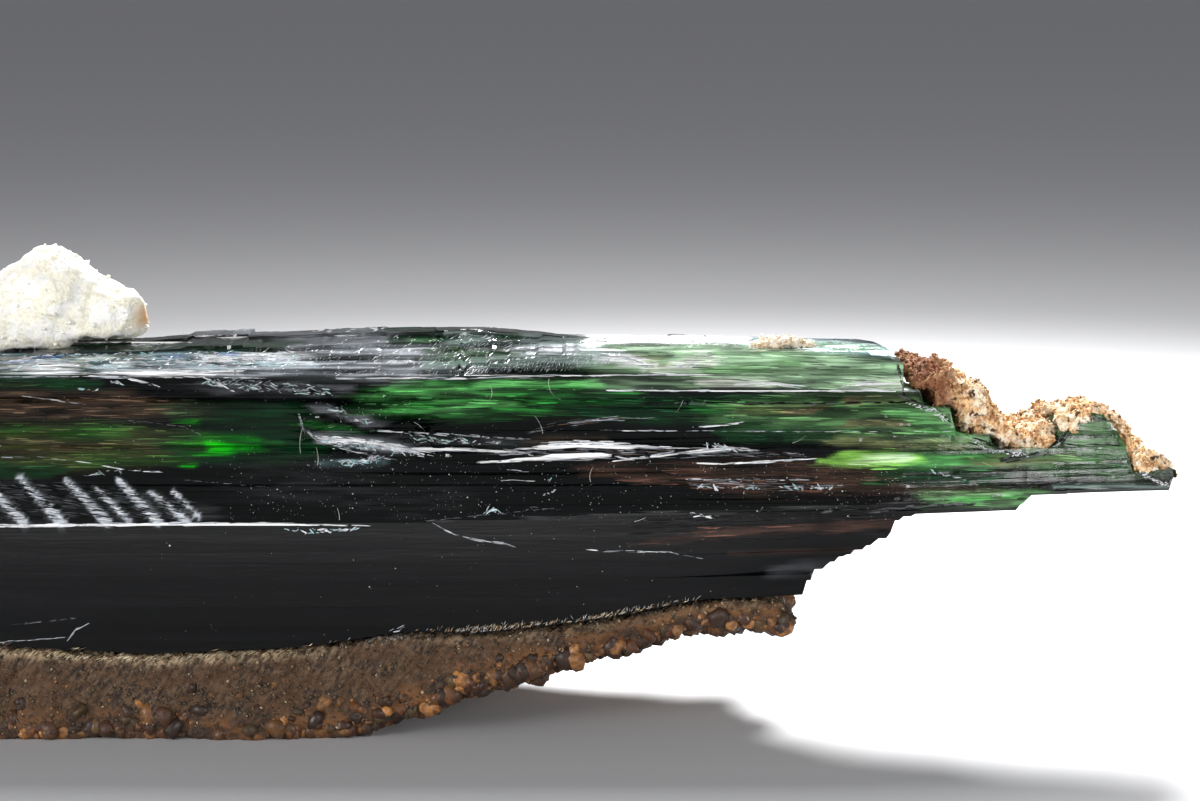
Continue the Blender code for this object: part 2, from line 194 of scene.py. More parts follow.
# Shader helpers
class Nodes:
    """Adds nodes to one material's tree."""

    def __init__(self, name):
        self.material = bpy.data.materials.new(name)
        self.material.use_nodes = True
        self.tree = self.material.node_tree
        self.shader = self.tree.nodes["Principled BSDF"]
        self.coord = self.tree.nodes.new("ShaderNodeTexCoord").outputs["Object"]

    def link(self, source, socket):
        """Links a number, a colour or another socket to a socket."""
        if isinstance(source, (int, float)):
            socket.default_value = source
        elif isinstance(source, tuple):
            full = len(source) == 3 and len(socket.default_value) == 4
            socket.default_value = (*source, 1.0) if full else source
        else:
            self.tree.links.new(source, socket)

    def scaled(self, scale, turn=0.0):
        node = self.tree.nodes.new("ShaderNodeMapping")
        node.vector_type = "TEXTURE"
        node.inputs["Scale"].default_value = tuple(1 / part for part in scale)
        node.inputs["Rotation"].default_value = (0, turn, 0)
        self.link(self.coord, node.inputs["Vector"])
        return node.outputs["Vector"]

    def noise(self, scale, detail=3.0, rough=0.55, turn=0.0):
        """Noise whose bumps are about 1/scale metres in size, along each axis."""
        node = self.tree.nodes.new("ShaderNodeTexNoise")
        node.inputs["Scale"].default_value = 1.0
        node.inputs["Detail"].default_value = detail
        node.inputs["Roughness"].default_value = rough
        scale = scale if isinstance(scale, tuple) else (scale,) * 3
        self.link(self.scaled(scale, turn), node.inputs["Vector"])
        return node.outputs["Fac"]

    def span(self, value, low, high, to_low=0.0, to_high=1.0):
        node = self.tree.nodes.new("ShaderNodeMapRange")
        node.interpolation_type = "SMOOTHSTEP"
        limits = {"From Min": low, "From Max": high, "To Min": to_low, "To Max": to_high}
        for name, number in limits.items():
            node.inputs[name].default_value = number
        self.link(value, node.inputs["Value"])
        return node.outputs["Result"]

    def math(self, operation, a, b=0.0):
        node = self.tree.nodes.new("ShaderNodeMath")
        node.operation = operation
        self.link(a, node.inputs[0])
        self.link(b, node.inputs[1])
        return node.outputs[0]

    def mix(self, factor, a, b, blend="MIX"):
        node = self.tree.nodes.new("ShaderNodeMix")
        node.data_type = "RGBA"
        node.blend_type = blend
        self.link(factor, node.inputs["Factor"])
        self.link(a, node.inputs[6])
        self.link(b, node.inputs[7])
        return node.outputs[2]

    def attribute(self, name):
        """The three values kept under that name."""
        node = self.tree.nodes.new("ShaderNodeAttribute")
        node.attribute_name = name
        parts = self.tree.nodes.new("ShaderNodeSeparateColor")
        self.link(node.outputs["Color"], parts.inputs["Color"])
        return tuple(parts.outputs)

    def bump(self, height, distance, strength=1.0, below=None):
        node = self.tree.nodes.new("ShaderNodeBump")
        node.inputs["Distance"].default_value = distance
        node.inputs["Strength"].default_value = strength
        self.link(height, node.inputs["Height"])
        if below:
            self.link(below, node.inputs["Normal"])
        return node.outputs["Normal"]

    def shade(self, name="shade"):
        """The colour kept under that name."""
        node = self.tree.nodes.new("ShaderNodeAttribute")
        node.attribute_name = name
        return node.outputs["Color"]

    def set(self, **values):
        for name, value in values.items():
            self.link(value, self.shader.inputs[name.replace("_", " ")])
        return self


def dress(obj, material):
    """Gives obj its material and its place among the part's pieces."""
    obj.data.materials.clear()
    obj.data.materials.append(material)
    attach(obj, "root")


def soft_zone(x, z, left, right, low, high, soft_x=1.0, soft_z=0.3):
    """1 inside a box of x and z, and softly 0 outside it."""
    inside = smooth(left - soft_x, left + soft_x, x) * (1 - smooth(right - soft_x, right + soft_x, x))
    return inside * smooth(low - soft_z, low + soft_z, z) * (1 - smooth(high - soft_z, high + soft_z, z))


# Camera, floor and light
# The camera's place, lens and sensor in millimetres, and the width and middle of the picture in pixels
CAMERA_AT = Vector((6.75, -173.9, 40.6))
CAMERA_TURN = math.radians(82)
LENS = 100
SENSOR = 36
PICTURE_WIDTH = 1200
PICTURE_MIDDLE = (600, 400.5)
# Half the floor's side, in millimetres
FLOOR_REACH = 2000
# Soft lamps: where they are and where they face (in metres), their size and their power
SOFTBOXES = {
    "fill_left": ((-0.36, -0.34, 0.10), (0, 0, 0.01), (0.22, 0.16), 1.8),
    "fill_right": ((0.34, -0.4, 0.14), (0, 0, 0.01), (0.2, 0.16), 1.2),
    "above": ((0.01, 0.09, 0.135), (0.01, 0.09, 0), (0.09, 0.06), 0.24),
}
# The key light stands behind: its place, where it faces, power, cone and softness
KEY_AT = (0.05, 0.25, 0.22)
KEY_TARGET = (0.005, -0.01, 0.0)
KEY_POWER = 13.0
KEY_CONE = math.radians(56)
KEY_SOFTNESS = 0.04
WORLD_COLOUR = (0.95, 0.96, 1.0, 1)
WORLD_STRENGTH = 0.21


def lamp(name, kind, place, target, power):
    """Adds a lamp at place that faces target, and gives its data."""
    data = bpy.data.lights.new(name, kind)
    data.energy = power
    light = bpy.data.objects.new(name, data)
    light.location = place
    light.rotation_euler = (Vector(target) - Vector(place)).to_track_quat("-Z", "Y").to_euler()
    bpy.context.scene.collection.objects.link(light)
    return data


def build_stage():
    """The camera, the floor, the lamps and the world's light."""
    camera_data = bpy.data.cameras.new("Camera")
    camera_data.lens = LENS
    camera_data.sensor_width = SENSOR
    camera_data.clip_start = 0.01
    camera = bpy.data.objects.new("Camera", camera_data)
    camera.location = [part * MM for part in CAMERA_AT]
    camera.rotation_euler = (CAMERA_TURN, 0, 0)
    bpy.context.scene.collection.objects.link(camera)
    bpy.context.scene.camera = camera

    side = FLOOR_REACH
    corners = [(-side, -side, 0), (side, -side, 0), (side, side, 0), (-side, side, 0)]
    floor = mesh_object("floor", corners, [(0, 1, 2, 3)])
    made = Nodes("pale floor")
    away = made.tree.nodes.new("ShaderNodeVectorMath")
    away.operation = "LENGTH"
    made.link(made.coord, away.inputs[0])
    # Painted light: the floor is a little paler away from its middle, which brightens the floor far off
    shade = made.mix(made.span(away.outputs["Value"], 0.1, 0.35), (0.6, 0.6, 0.61), (0.64, 0.64, 0.66))
    made.set(Base_Color=shade, Roughness=0.8)
    floor.data.materials.append(made.material)

    for name, (place, target, size, power) in SOFTBOXES.items():
        data = lamp(name, "AREA", place, target, power)
        data.shape = "RECTANGLE"
        data.size, data.size_y = size
    key = lamp("key", "SPOT", KEY_AT, KEY_TARGET, KEY_POWER)
    key.spot_size = KEY_CONE
    key.spot_blend = 1.0
    key.shadow_soft_size = KEY_SOFTNESS
    world = bpy.data.worlds.new("World")
    world.use_nodes = True
    background = world.node_tree.nodes["Background"]
    background.inputs["Color"].default_value = WORLD_COLOUR
    background.inputs["Strength"].default_value = WORLD_STRENGTH
    bpy.context.scene.world = world
    bpy.context.scene.view_settings.view_transform = "Standard"


# The crystal's fine sheets
TIP_HEIGHT = 13.1
# Cuts across the crystal: its ends, where the photo's left edge is, and the steps to its left and right
LEFT_END, SEEN_FROM, RIGHT_END = -36.15, -23.6, 36.18
COARSE_STEP, FINE_STEP = 0.45, 0.2
# Left of this the sheets end brokenly
BREAK_FROM = -31.5
# How far the back of the right end stands to the left of its front
SHEAR = 1.2
# Between the first two places the top of the front face rises from the one to the other of these heights
FRONT_RISE = ((-1.5, 8.5), (18.42, 20.12))
# Between these places the top follows TOP_LINE, its height along the crystal
TOP_SPAN = (-31, 22.3)
TOP_LINE = (
    (-36.2, -30, -25.3, -22.1, -17.3, -14.3, -6.1, -3.9, 0.3, 3.5, 6.2, 12.1, 15.3, 20.1, 21.4, 22.4),
    (18.2, 18.4, 18.5, 18.85, 19.1, 19.35, 19.78, 19.86, 20.0, 19.74, 19.44, 19.38, 19.45, 19.4, 19.2,
     18.75),
)
# How far the lower layers reach to the right at each height
END_LINE = (
    (6.4, 7.6, 8.8, 9.34, 9.7, 9.95, 10.3, 10.7, 11.26, 11.5, 11.6, 11.64, 12.25, 12.42, 12.46),
    (16.9, 17.05, 17.85, 18.75, 19.85, 20.45, 21.1, 21.4, 21.7, 22.35, 23.0, 27.6, 28.4, 28.85, 37.0),
)
# Right of the one and below the other of these, the layers end at END_LINE
END_FROM, END_BELOW = 10, 12.85
# At the left end the colours fade out, and the broken face fades from dull to glossy
PAINT_FADE = (-33.4, -31.4)
DULL_FADE = (-34.6, -32.6)
# Heights that are always between two sheets, and how thick the sheets between each two of them are
MAIN_LEVELS = (
    4.2, 8.5, 9.1, 9.7, 10.3, 10.9, 11.5, 12.3, 12.9, 13.42, 14.5, 15.2, 15.8, 16.6, 17.5, 18.3, 18.42,
    18.92, 19.32, 19.72, 20.12,
)
THICKNESSES = (
    0.3, 0.2, 0.2, 0.2, 0.2, 0.18, 0.14, 0.13, 0.13, 0.13, 0.13, 0.14, 0.14, 0.14, 0.13, 0.12, 0.16, 0.13,
    0.13, 0.2,
)


def layer_levels():
    """Heights between thin sheets, from the foot to the top, with the source's sheets among them."""
    rng = np.random.default_rng(3)
    levels = [MAIN_LEVELS[0]]
    for low, high, thin in zip(MAIN_LEVELS, MAIN_LEVELS[1:], THICKNESSES):
        count = max(1, round((high - low) / thin))
        inner = low + (high - low) * (np.arange(1, count) + rng.uniform(-0.35, 0.35, count - 1)) / count
        levels += [*inner.tolist(), high]
    return np.array(levels)


def present(x, z):
    """The source's sheets at that place."""
    return [
        s for s in SHEETS + PEAK
        if s[0] <= z <= s[1] + (OVERLAP if s[1] > 14 else 0.0) and s[2] <= x <= s[3]
    ]


def sheets_at(x, z):
    """The source's sheets at that place, or else the nearest one at about that height."""
    return present(x, z) or [min(
        SHEETS + PEAK, key=lambda s: 5 * max(s[0] - z, z - s[1], 0) + max(s[2] - x, x - s[3], 0)
    )]


# Shifts along an edge and their weights, which round its bends
ROUNDING = ((-4.0, 0.12), (-2.0, 0.23), (0.0, 0.3), (2.0, 0.23), (4.0, 0.12))


def softly(edge, x):
    """The corner of a long edge at x, with the edge's own bends rounded."""
    near = [(weight, along(edge, x + shift)) for shift, weight in ROUNDING]
    return [sum(weight * corner[k] for weight, corner in near) for k in range(len(edge[0]) - 1)]


def reach(x, levels):
    """From which to which layer the crystal is there at x."""
    middles = (levels[:-1] + levels[1:]) / 2
    tip = int(np.searchsorted(levels, TIP_HEIGHT)) - 1
    sign = 1 if x > 0 else -1
    there = []
    for k, middle in enumerate(middles):
        chance = runs(0.0, 3.0, 900 + k)
        if x > END_FROM and middle < END_BELOW:
            there.append(x <= np.interp(middle, *END_LINE) + 0.5 * (chance - 0.5))
        else:
            ragged = 0.45 * (chance - 0.3) - 0.35 * (x > 0 and middle > 13.4)
            there.append(bool(present(x + sign * ragged, middle)))
    low = high = tip
    while low > 0 and there[low - 1]:
        low -= 1
    while high < len(middles) - 1 and there[high + 1]:
        high += 1
    return low, high


def front_relief(places, middles):
    """How far each thin sheet stands back in front, and how much its face leans."""
    offset = np.empty((len(places), len(middles)))
    lean = np.empty_like(offset)
    for k, z in enumerate(middles):
        broken = soft_zone(places, z, -8.6, -1.0, 14.4, 17.6, 1.0, 0.3)
        streaky = soft_zone(places, z, -3, 16, 13.9, 15.8, 3.0, 0.3)
        size = 0.008 + 0.016 * (z > 11.5) + 0.1 * streaky + 0.05 * smooth(10, 20, places) * (z > 11.5)
        size = size + 0.06 * soft_zone(places, z, -23, 8, 17.3, 18.5, 3.0, 0.2)
        offset[:, k] = size * runs(places, 5.0, 40 + k) ** 2
        offset[:, k] += 0.34 * broken * runs(places, 0.9, 640 + k) ** 2
        lean[:, k] = (0.12 if z > 11.5 else 0.015) * (runs(places, 4.0, 240 + k) - 0.5)
        lean[:, k] += (0.6 * streaky + 1.6 * broken) * (runs(places, 1.6, 340 + k) - 0.2)
    for low, high, left, right, out in SPLINTERS:
        fade = (right - left) * 0.3
        bump = out * smooth(left, left + fade, places) * (1 - smooth(right - fade, right, places))
        for k, z in enumerate(middles):
            if low <= z <= high:
                offset[:, k] -= 0.7 * bump
    return offset, lean


# How many rows of corners each part of the top has, and the share of its rise in each of the four steps
TOP_ROWS = (2, 5, 6, 5, 4)
STEP_SHARES = (0.12, 0.14, 0.16, 0.1)


def top_points(x, front, back):
    """The top of the crystal at x, from its front to its back edge, with four broken steps and a slope."""
    y0, z0 = front
    y1, z1 = back
    rise = z1 - z0
    stops = (
        0.10 + 0.03 * wander(x, 4.0, 61), 0.33 + 0.05 * wander(x, 5.0, 62),
        0.60 + 0.04 * wander(x, 3.0, 63), 0.85 + 0.03 * wander(x, 4.0, 64), 1.0,
    )
    slope = 1 - sum(STEP_SHARES)
    dips = [0.06 * min(1.0, rise / 0.8) * runs(x, 2.5, 70 + k) ** 2 for k in range(4)] + [0.0]
    points, level, before = [], 0.0, 0.0

    def add(share, dip, etched):
        fade = min(1.0, share * 14, (1 - share) * 14)
        height = z0 + rise * (level + slope * share) - dip * fade + etched * fade
        points.append((x, y0 + (y1 - y0) * share, height))

    for part, (stop, rows) in enumerate(zip(stops, TOP_ROWS)):
        last = part == 4
        for row in range(1, rows if last else rows + 1):
            share = before + (stop - before) * row / rows
            etched = noise.noise(Vector((x * 1.6 + 2.2 * share * 9, share * 40, 5.0)))
            add(share, dips[part], 0.045 * etched)
        if not last:
            level += STEP_SHARES[part]
            add(stop + 0.002, dips[part + 1], 0.0)
        before = stop
    return points


def broken_end(y, z):
    """How much shorter the left end is at that place."""
    steps = 1.0 * runs(z, 1.1, 92) + 0.7 * runs(z, 0.35, 93) + 0.5 * runs(y + 0.3 * z, 3.0, 94)
    return steps + 0.03 * (10 - y)


def build_crystal():
    """The crystal as a chain of corners around it at each place, from its left to its right end."""
    levels = layer_levels()
    count = len(levels) - 1
    middles = (levels[:-1] + levels[1:]) / 2
    hidden = np.arange(LEFT_END, SEEN_FROM, COARSE_STEP)
    places = np.concatenate((hidden, np.arange(SEEN_FROM, RIGHT_END, FINE_STEP), [RIGHT_END]))
    back_levels = levels[::2] if len(levels) % 2 else np.append(levels[::2], levels[-1])
    offset, lean = front_relief(places, middles)
    verts = []
    for number, x in enumerate(places):
        corners = [softly(edge, x) for edge in FRONT_EDGES]
        back_corners = [softly(edge, x) for edge in BACK_EDGES]
        first, last = reach(x, levels)
        top = levels[last + 1]
        if TOP_SPAN[0] < x < TOP_SPAN[1]:
            top = np.interp(x, *TOP_LINE) + 0.05 * (runs(x, 0.8, 78) - 0.5)
            last = int(np.searchsorted(levels, top)) - 1
        foot = along(CONTACT, x)[0]
        rising = FRONT_RISE[0][0] < x < FRONT_RISE[0][1]
        limit = np.interp(x, *FRONT_RISE) + 0.08 * (runs(x, 1.6, 77) - 0.5) * rising
        highest = min(last, int(np.searchsorted(levels, limit + 0.01)) - 2)
        points = []
        for k in range(count):
            j = min(max(k, first), highest)
            ends = (levels[j], levels[j + 1])
            if k < first:
                ends = (levels[j], levels[j])
            elif k > highest:
                ends = (levels[j + 1], levels[j + 1])
            sheets = sheets_at(x, middles[j])
            missing = min(s[4] for s in sheets)
            if middles[j] < 11.5:
                missing = max(s[4] for s in sheets) * float(smooth(9.0, 17.0, x))
            for z in ends:
                z = max(z, foot)
                wave = 0.03 * wander(x, 9.0, 7) + 0.012 * wander(z, 0.5, 8)
                y = face_at(corners, z) + missing + offset[number, j] + wave
                points.append((x, y + lean[number, j] * (z - middles[j]), z))
        front = points[-1]
        sheets = sheets_at(x, middles[last])
        y_back = max(face_at(back_corners, top) - min(s[5] for s in sheets), front[1] + 0.4)
        points += top_points(x, front[1:], (y_back, top))
        for k in range(len(back_levels) - 2, -1, -1):
            ends = (back_levels[k + 1], back_levels[k])
            low_end, high_end = max(levels[first], foot), top
            sheets = sheets_at(x, min(max(sum(ends) / 2, low_end), high_end))
            inset = min(s[5] for s in sheets) + 0.25 * runs(x, 5.0, 500 + k)
            for z in ends:
                z = min(max(z, low_end), high_end)
                points.append((x, max(face_at(back_corners, z) - inset, front[1] + 0.3), z))
        bottom_front, bottom_back = points[0], points[-1]
        for k in range(1, 6):
            points.append(tuple(b + (f - b) * k / 6 for b, f in zip(bottom_back, bottom_front)))
        shear = SHEAR * smooth(8, 20, x)
        depth = max(y_back - bottom_front[1], 1.0)
        for at, (px, py, pz) in enumerate(points):
            back_share = min(max((py - bottom_front[1]) / depth, 0), 1)
            points[at] = (px - shear * back_share * (1 - 0.8 * min(max(pz - 17.7, 0), 1)), py, pz)
        if x < BREAK_FROM:
            fade = 1 - float(smooth(-36.2, BREAK_FROM, x))
            points = [(px + fade * broken_end(py, pz), py, pz) for px, py, pz in points]
        verts += points
    chain = len(verts) // len(places)
    faces = []
    for i in range(len(places) - 1):
        for k in range(chain):
            a, b = i * chain + k, i * chain + (k + 1) % chain
            faces.append((a, b, b + chain, a + chain))
    faces.append(tuple(range(chain)))
    faces.append(tuple(reversed(range((len(places) - 1) * chain, len(places) * chain))))
    crystal = mesh_object("vivianite_crystal_fine", verts, faces)
    mend(
        crystal,
        lambda bm: bmesh.ops.remove_doubles(bm, verts=bm.verts, dist=SAME_PLACE * MM),
        lambda bm: bmesh.ops.triangulate(bm, faces=bm.faces),
    )
    return crystal


# Colours laid on the crystal, as seen from the camera, with painted highlights, reflections and glow among
# them
FOCAL_PIXELS = LENS / SENSOR * PICTURE_WIDTH
PICTURE_RIGHT = Vector((1, 0, 0))
PICTURE_UP = Vector((0, math.cos(CAMERA_TURN), math.sin(CAMERA_TURN)))
PICTURE_DEPTH = Vector((0, math.sin(CAMERA_TURN), -math.cos(CAMERA_TURN)))
# About the width of a pixel on the crystal, in millimetres
PIXEL = 0.05


def ray_through(px, py):
    """The direction from the camera through a place in the picture."""
    right, down = (px - PICTURE_MIDDLE[0]) / FOCAL_PIXELS, (py - PICTURE_MIDDLE[1]) / FOCAL_PIXELS
    return (PICTURE_DEPTH + PICTURE_RIGHT * right - PICTURE_UP * down).normalized()


# GREEN, LEAF, JADE, PALE, LIME and VIVID paint the glow of light through thin sheets over the crystal's own
# green
# WHITE, SILVER, ICE, BLUE and CREAM mostly paint highlights and reflections on the faces;
WHITE, SILVER, ICE, FROST = (0.95, 0.95, 0.96), (0.6, 0.64, 0.7), (0.42, 0.64, 0.68), (0.4, 0.56, 0.5)
GREY, STONE = (0.2, 0.21, 0.23), (0.1, 0.1, 0.11)
NEAR_BLACK, SLATE = (0.002, 0.003, 0.003), (0.002, 0.0025, 0.004)
CREAM, PALE, JADE, LEAF = (0.85, 0.92, 0.78), (0.4, 0.62, 0.38), (0.14, 0.32, 0.12), (0.13, 0.46, 0.13)
GREEN, VIVID, LIME, FOREST = (0.03, 0.26, 0.04), (0.004, 0.6, 0.002), (0.36, 0.8, 0.13), (0.008, 0.07, 0.02)
OLIVE, MOSS, UMBER, EARTH = (0.08, 0.11, 0.03), (0.035, 0.14, 0.02), (0.13, 0.08, 0.05), (0.24, 0.15, 0.09)
RUSTY, TAN, BLUE, BRASS = (0.14, 0.065, 0.045), (0.5, 0.34, 0.2), (0.06, 0.25, 0.75), (0.26, 0.29, 0.13)
# Strokes of colour: a colour, how strong and how streaky it is, and a line of (across, down, half width) in
# pixels of the picture. These go through the whole crystal, front and back. The bright green strokes are
# partly the crystal's own green and partly the painted glow of light through its thin sheets.
THROUGH = (
    (UMBER, 0.8, 0.9, (-300, 404, 20), (0, 402, 19), (110, 405, 15), (200, 412, 8)),
    (FOREST, 0.8, 0.5, (-250, 383, 6), (0, 383, 6), (100, 385, 5)),
    (OLIVE, 0.9, 0.7, (-300, 446, 24), (0, 447, 24), (110, 447, 23), (190, 446, 14)),
    (MOSS, 0.8, 0.5, (0, 431, 5), (30, 431, 4)), (MOSS, 0.8, 0.5, (70, 432, 7), (110, 430, 8)),
    (MOSS, 0.7, 0.5, (100, 458, 8), (180, 458, 8)), (MOSS, 0.7, 0.5, (-200, 440, 8), (-80, 436, 8)),
    (UMBER, 0.6, 0.8, (-200, 450, 6), (0, 447, 7), (80, 450, 8), (160, 450, 6)),
    (FOREST, 0.9, 0.4, (-200, 472, 7), (0, 470, 8), (50, 472, 6)),
    (FOREST, 0.7, 0.6, (190, 412, 10), (285, 415, 12)), (FOREST, 0.8, 0.5, (200, 446, 16), (280, 446, 18)),
    (GREEN, 0.8, 0.85, (385, 402, 14), (450, 400, 21), (540, 397, 18), (600, 394, 11)),
    (LEAF, 0.4, 0.8, (385, 402, 12), (470, 400, 16)),
    (FOREST, 0.8, 0.6, (590, 406, 12), (650, 410, 14), (760, 410, 16)),
    (PALE, 0.95, 0.5, (600, 358, 14), (700, 360, 16), (800, 368, 20), (895, 376, 14)),
    (JADE, 0.85, 0.75, (760, 415, 18), (840, 415, 22), (920, 420, 22), (975, 440, 10)),
    (EARTH, 0.8, 0.6, (748, 410, 6), (812, 409, 5)), (EARTH, 0.75, 0.6, (850, 400, 4), (905, 401, 4)),
    (EARTH, 0.7, 0.6, (845, 424, 4), (900, 424, 4)), (FOREST, 0.85, 0.5, (745, 434, 10), (840, 434, 9)),
    (BRASS, 0.7, 0.6, (850, 442, 6), (970, 444, 6)), (LEAF, 0.8, 0.4, (905, 460, 9), (1000, 461, 7)),
    (LIME, 0.95, 0.5, (828, 460, 4), (855, 459, 8), (900, 459, 8)),
    (RUSTY, 0.7, 0.85, (600, 470, 8), (760, 478, 18), (880, 482, 12)),
    (FOREST, 0.9, 0.6, (880, 477, 7), (1000, 478, 8)), (UMBER, 0.7, 0.6, (850, 490, 4), (1000, 490, 4)),
    (JADE, 0.9, 0.6, (940, 499, 9), (1035, 498, 9)), (LEAF, 0.9, 0.3, (960, 500, 4), (976, 500, 4)),
    (LEAF, 0.7, 0.3, (1008, 496, 3), (1022, 496, 3)), (EARTH, 0.8, 0.6, (1000, 462, 7), (1060, 458, 7)),
    (JADE, 0.7, 0.6, (1075, 455, 22), (1095, 432, 27), (1118, 455, 24)),
    (FOREST, 0.6, 0.6, (1060, 470, 6), (1130, 470, 6)), (FROST, 0.5, 0.5, (1060, 486, 3), (1160, 487, 2)),
    (RUSTY, 0.9, 0.7, (640, 545, 2), (740, 532, 5), (900, 524, 5)),
    (RUSTY, 0.8, 0.5, (740, 553, 2), (870, 548, 2)),
    (NEAR_BLACK, 0.95, 0.3, (640, 514, 4), (760, 510, 8), (920, 506, 3)),
)
# The slanting bars of the comb above the lower ridge, left of the middle, painted as reflections
COMB = (
    ((-112, 478, 3.5), (-90, 500, 5.5), (-72, 522, 6.5)),
    ((-60, 480, 3.5), (-40, 501, 4.5), (-22, 522, 5.5)), ((-14, 484, 3), (6, 504, 5), (24, 523, 5.5)),
    ((20, 478, 3.5), (40, 499, 5), (61, 522, 6.5)), ((66, 480, 3.5), (88, 502, 5), (107, 522, 6)),
    ((96, 488, 2.5), (114, 506, 3.5), (130, 522, 4)), ((118, 480, 3.5), (138, 501, 5), (158, 522, 5.5)),
    ((150, 492, 2.5), (170, 507, 4), (187, 522, 4.5)), ((172, 490, 2), (186, 504, 2.5), (200, 518, 3)),
)
# These lie on the front and the top only. The comb's bars and the white, silver, icy, blue and cream
# strokes are mostly painted highlights and reflections, and the bright green strokes partly painted glow.
FACE = tuple((SILVER, 0.95, 0.15, *bar) for bar in COMB) + (
    (SLATE, 0.7, 0.4, (-300, 590, 50), (0, 585, 50), (400, 585, 50), (800, 565, 25)),
    (STONE, 0.8, 0.6, (150, 336, 4), (203, 336, 5)), (SILVER, 0.9, 0.5, (205, 330, 5), (360, 329, 6)),
    (ICE, 0.9, 0.8, (-300, 364, 13), (0, 364, 13), (120, 361, 12), (230, 362, 12), (300, 364, 8)),
    (SILVER, 0.85, 0.75, (110, 371, 6), (200, 369, 8), (300, 366, 12), (400, 358, 22), (440, 360, 18)),
    (SILVER, 0.9, 0.5, (290, 343, 8), (385, 345, 12)), (WHITE, 0.8, 0.3, (18, 362, 6), (52, 368, 9)),
    (WHITE, 0.9, 0.2, (130, 373, 3), (200, 374, 3)), (WHITE, 0.75, 0.3, (205, 358, 4), (300, 357, 5)),
    (BLUE, 0.6, 0.2, (34, 359, 3), (42, 357, 3)), (BLUE, 0.5, 0.2, (166, 356, 2.5), (178, 356, 2)),
    (BLUE, 0.5, 0.2, (230, 355, 2.5), (238, 353, 2)), (CREAM, 0.6, 0.2, (80, 360, 3), (100, 358, 3)),
    (FOREST, 1.0, 0.0, (62, 347, 4.2), (204, 346.5, 4)),
    (FOREST, 1.0, 0.0, (214, 345.5, 6), (282, 345.5, 5.5)), (UMBER, 0.6, 0.6, (540, 441, 4), (585, 438, 3)),
    (STONE, 0.7, 0.8, (380, 438, 6), (520, 444, 6)), (WHITE, 0.8, 0.5, (456, 325, 3), (600, 333, 4)),
    (FROST, 0.85, 0.5, (448, 339, 7), (600, 341, 6)), (FOREST, 1.0, 0.0, (397, 328, 4.6), (443, 328.5, 4)),
    (FOREST, 1.0, 0.0, (396, 339.5, 4.6), (438, 339.5, 4.6)),
    (LEAF, 0.6, 0.1, (412, 339.5, 1.6), (432, 339.5, 1.6)),
    (FOREST, 0.95, 0.0, (506, 336, 3.8), (518, 336, 3.8)),
    (NEAR_BLACK, 0.9, 0.1, (520, 330, 1.6), (568, 333, 1.2)), (JADE, 0.85, 0.7, (440, 356, 8), (530, 357, 9)),
    (SILVER, 0.95, 0.4, (530, 352, 9), (590, 352, 9)), (FROST, 0.9, 0.5, (440, 363, 7), (590, 360, 7)),
    (FOREST, 0.6, 0.6, (540, 372, 3), (610, 371, 3)), (WHITE, 0.95, 0.35, (592, 338, 5), (730, 339, 5)),
    (ICE, 0.9, 0.4, (730, 339, 5), (800, 342, 7), (892, 351, 7)),
    (JADE, 0.8, 0.5, (815, 344, 4), (870, 348, 4)),
    (WHITE, 0.9, 0.3, (603, 358, 3), (640, 361, 6), (654, 367, 3)),
    (BRASS, 0.8, 0.3, (636, 357, 2), (656, 359, 3), (663, 368, 3)),
    (CREAM, 0.95, 0.25, (670, 367, 4), (698, 363, 7), (711, 362, 4)),
    (JADE, 0.8, 0.4, (700, 371, 3), (760, 367, 5), (800, 361, 4)),
    (PALE, 0.5, 0.7, (600, 384, 6), (690, 384, 6)), (CREAM, 0.6, 0.5, (860, 384, 6), (912, 384, 7)),
    (CREAM, 0.6, 0.5, (712, 383, 5), (762, 382, 5)), (LEAF, 0.6, 0.5, (398, 388, 6), (440, 389, 7)),
    (LEAF, 0.75, 0.4, (487, 384, 5), (590, 384, 4)), (LEAF, 0.7, 0.3, (482, 405, 3), (500, 405, 3)),
    (LEAF, 0.5, 0.6, (905, 414, 7), (955, 430, 8)), (CREAM, 0.5, 0.4, (862, 458, 4), (900, 458, 4)),
    (GREEN, 0.5, 0.7, (700, 408, 6), (760, 410, 6)), (VIVID, 0.3, 0.6, (205, 441, 8), (240, 443, 7)),
    (VIVID, 0.9, 0.45, (206, 452, 5), (217, 449, 7)), (VIVID, 0.45, 0.5, (247, 449, 3.5), (260, 449, 3.5)),
    (VIVID, 0.45, 0.5, (186, 466, 2.5), (194, 466, 2.5)), (VIVID, 0.35, 0.4, (194, 422, 3), (206, 422, 3)),
    (GREEN, 0.4, 0.4, (272, 444, 4), (284, 443, 3)),
    (STONE, 0.5, 0.9, (-300, 502, 20), (0, 502, 20), (110, 504, 17), (200, 512, 8)),
    (STONE, 0.2, 0.95, (300, 480, 26), (420, 502, 20), (460, 512, 8)),
    (GREY, 0.9, 0.4, (320, 408, 4), (370, 424, 5)), (NEAR_BLACK, 0.9, 0.2, (330, 403, 4), (375, 405, 5)),
    (GREEN, 0.7, 0.3, (306, 424, 3), (345, 430, 4)), (GREY, 0.7, 0.9, (210, 388, 7), (330, 390, 8)),
    (SILVER, 0.6, 0.6, (322, 436, 5), (360, 442, 8), (400, 448, 6)),
    (ICE, 0.6, 0.8, (328, 463, 4), (376, 463, 4)), (GREY, 0.35, 0.5, (780, 572, 6), (850, 562, 5)),
    (TAN, 0.9, 0.2, (806, 598, 3), (824, 572, 2)),
)


def picture_place(points):
    """Where points (in millimetres) are in the picture."""
    off = points - np.array(CAMERA_AT)
    depth = off @ np.array(PICTURE_DEPTH)
    across = PICTURE_MIDDLE[0] + FOCAL_PIXELS * (off @ PICTURE_RIGHT) / depth
    return across, PICTURE_MIDDLE[1] - FOCAL_PIXELS * (off @ PICTURE_UP) / depth


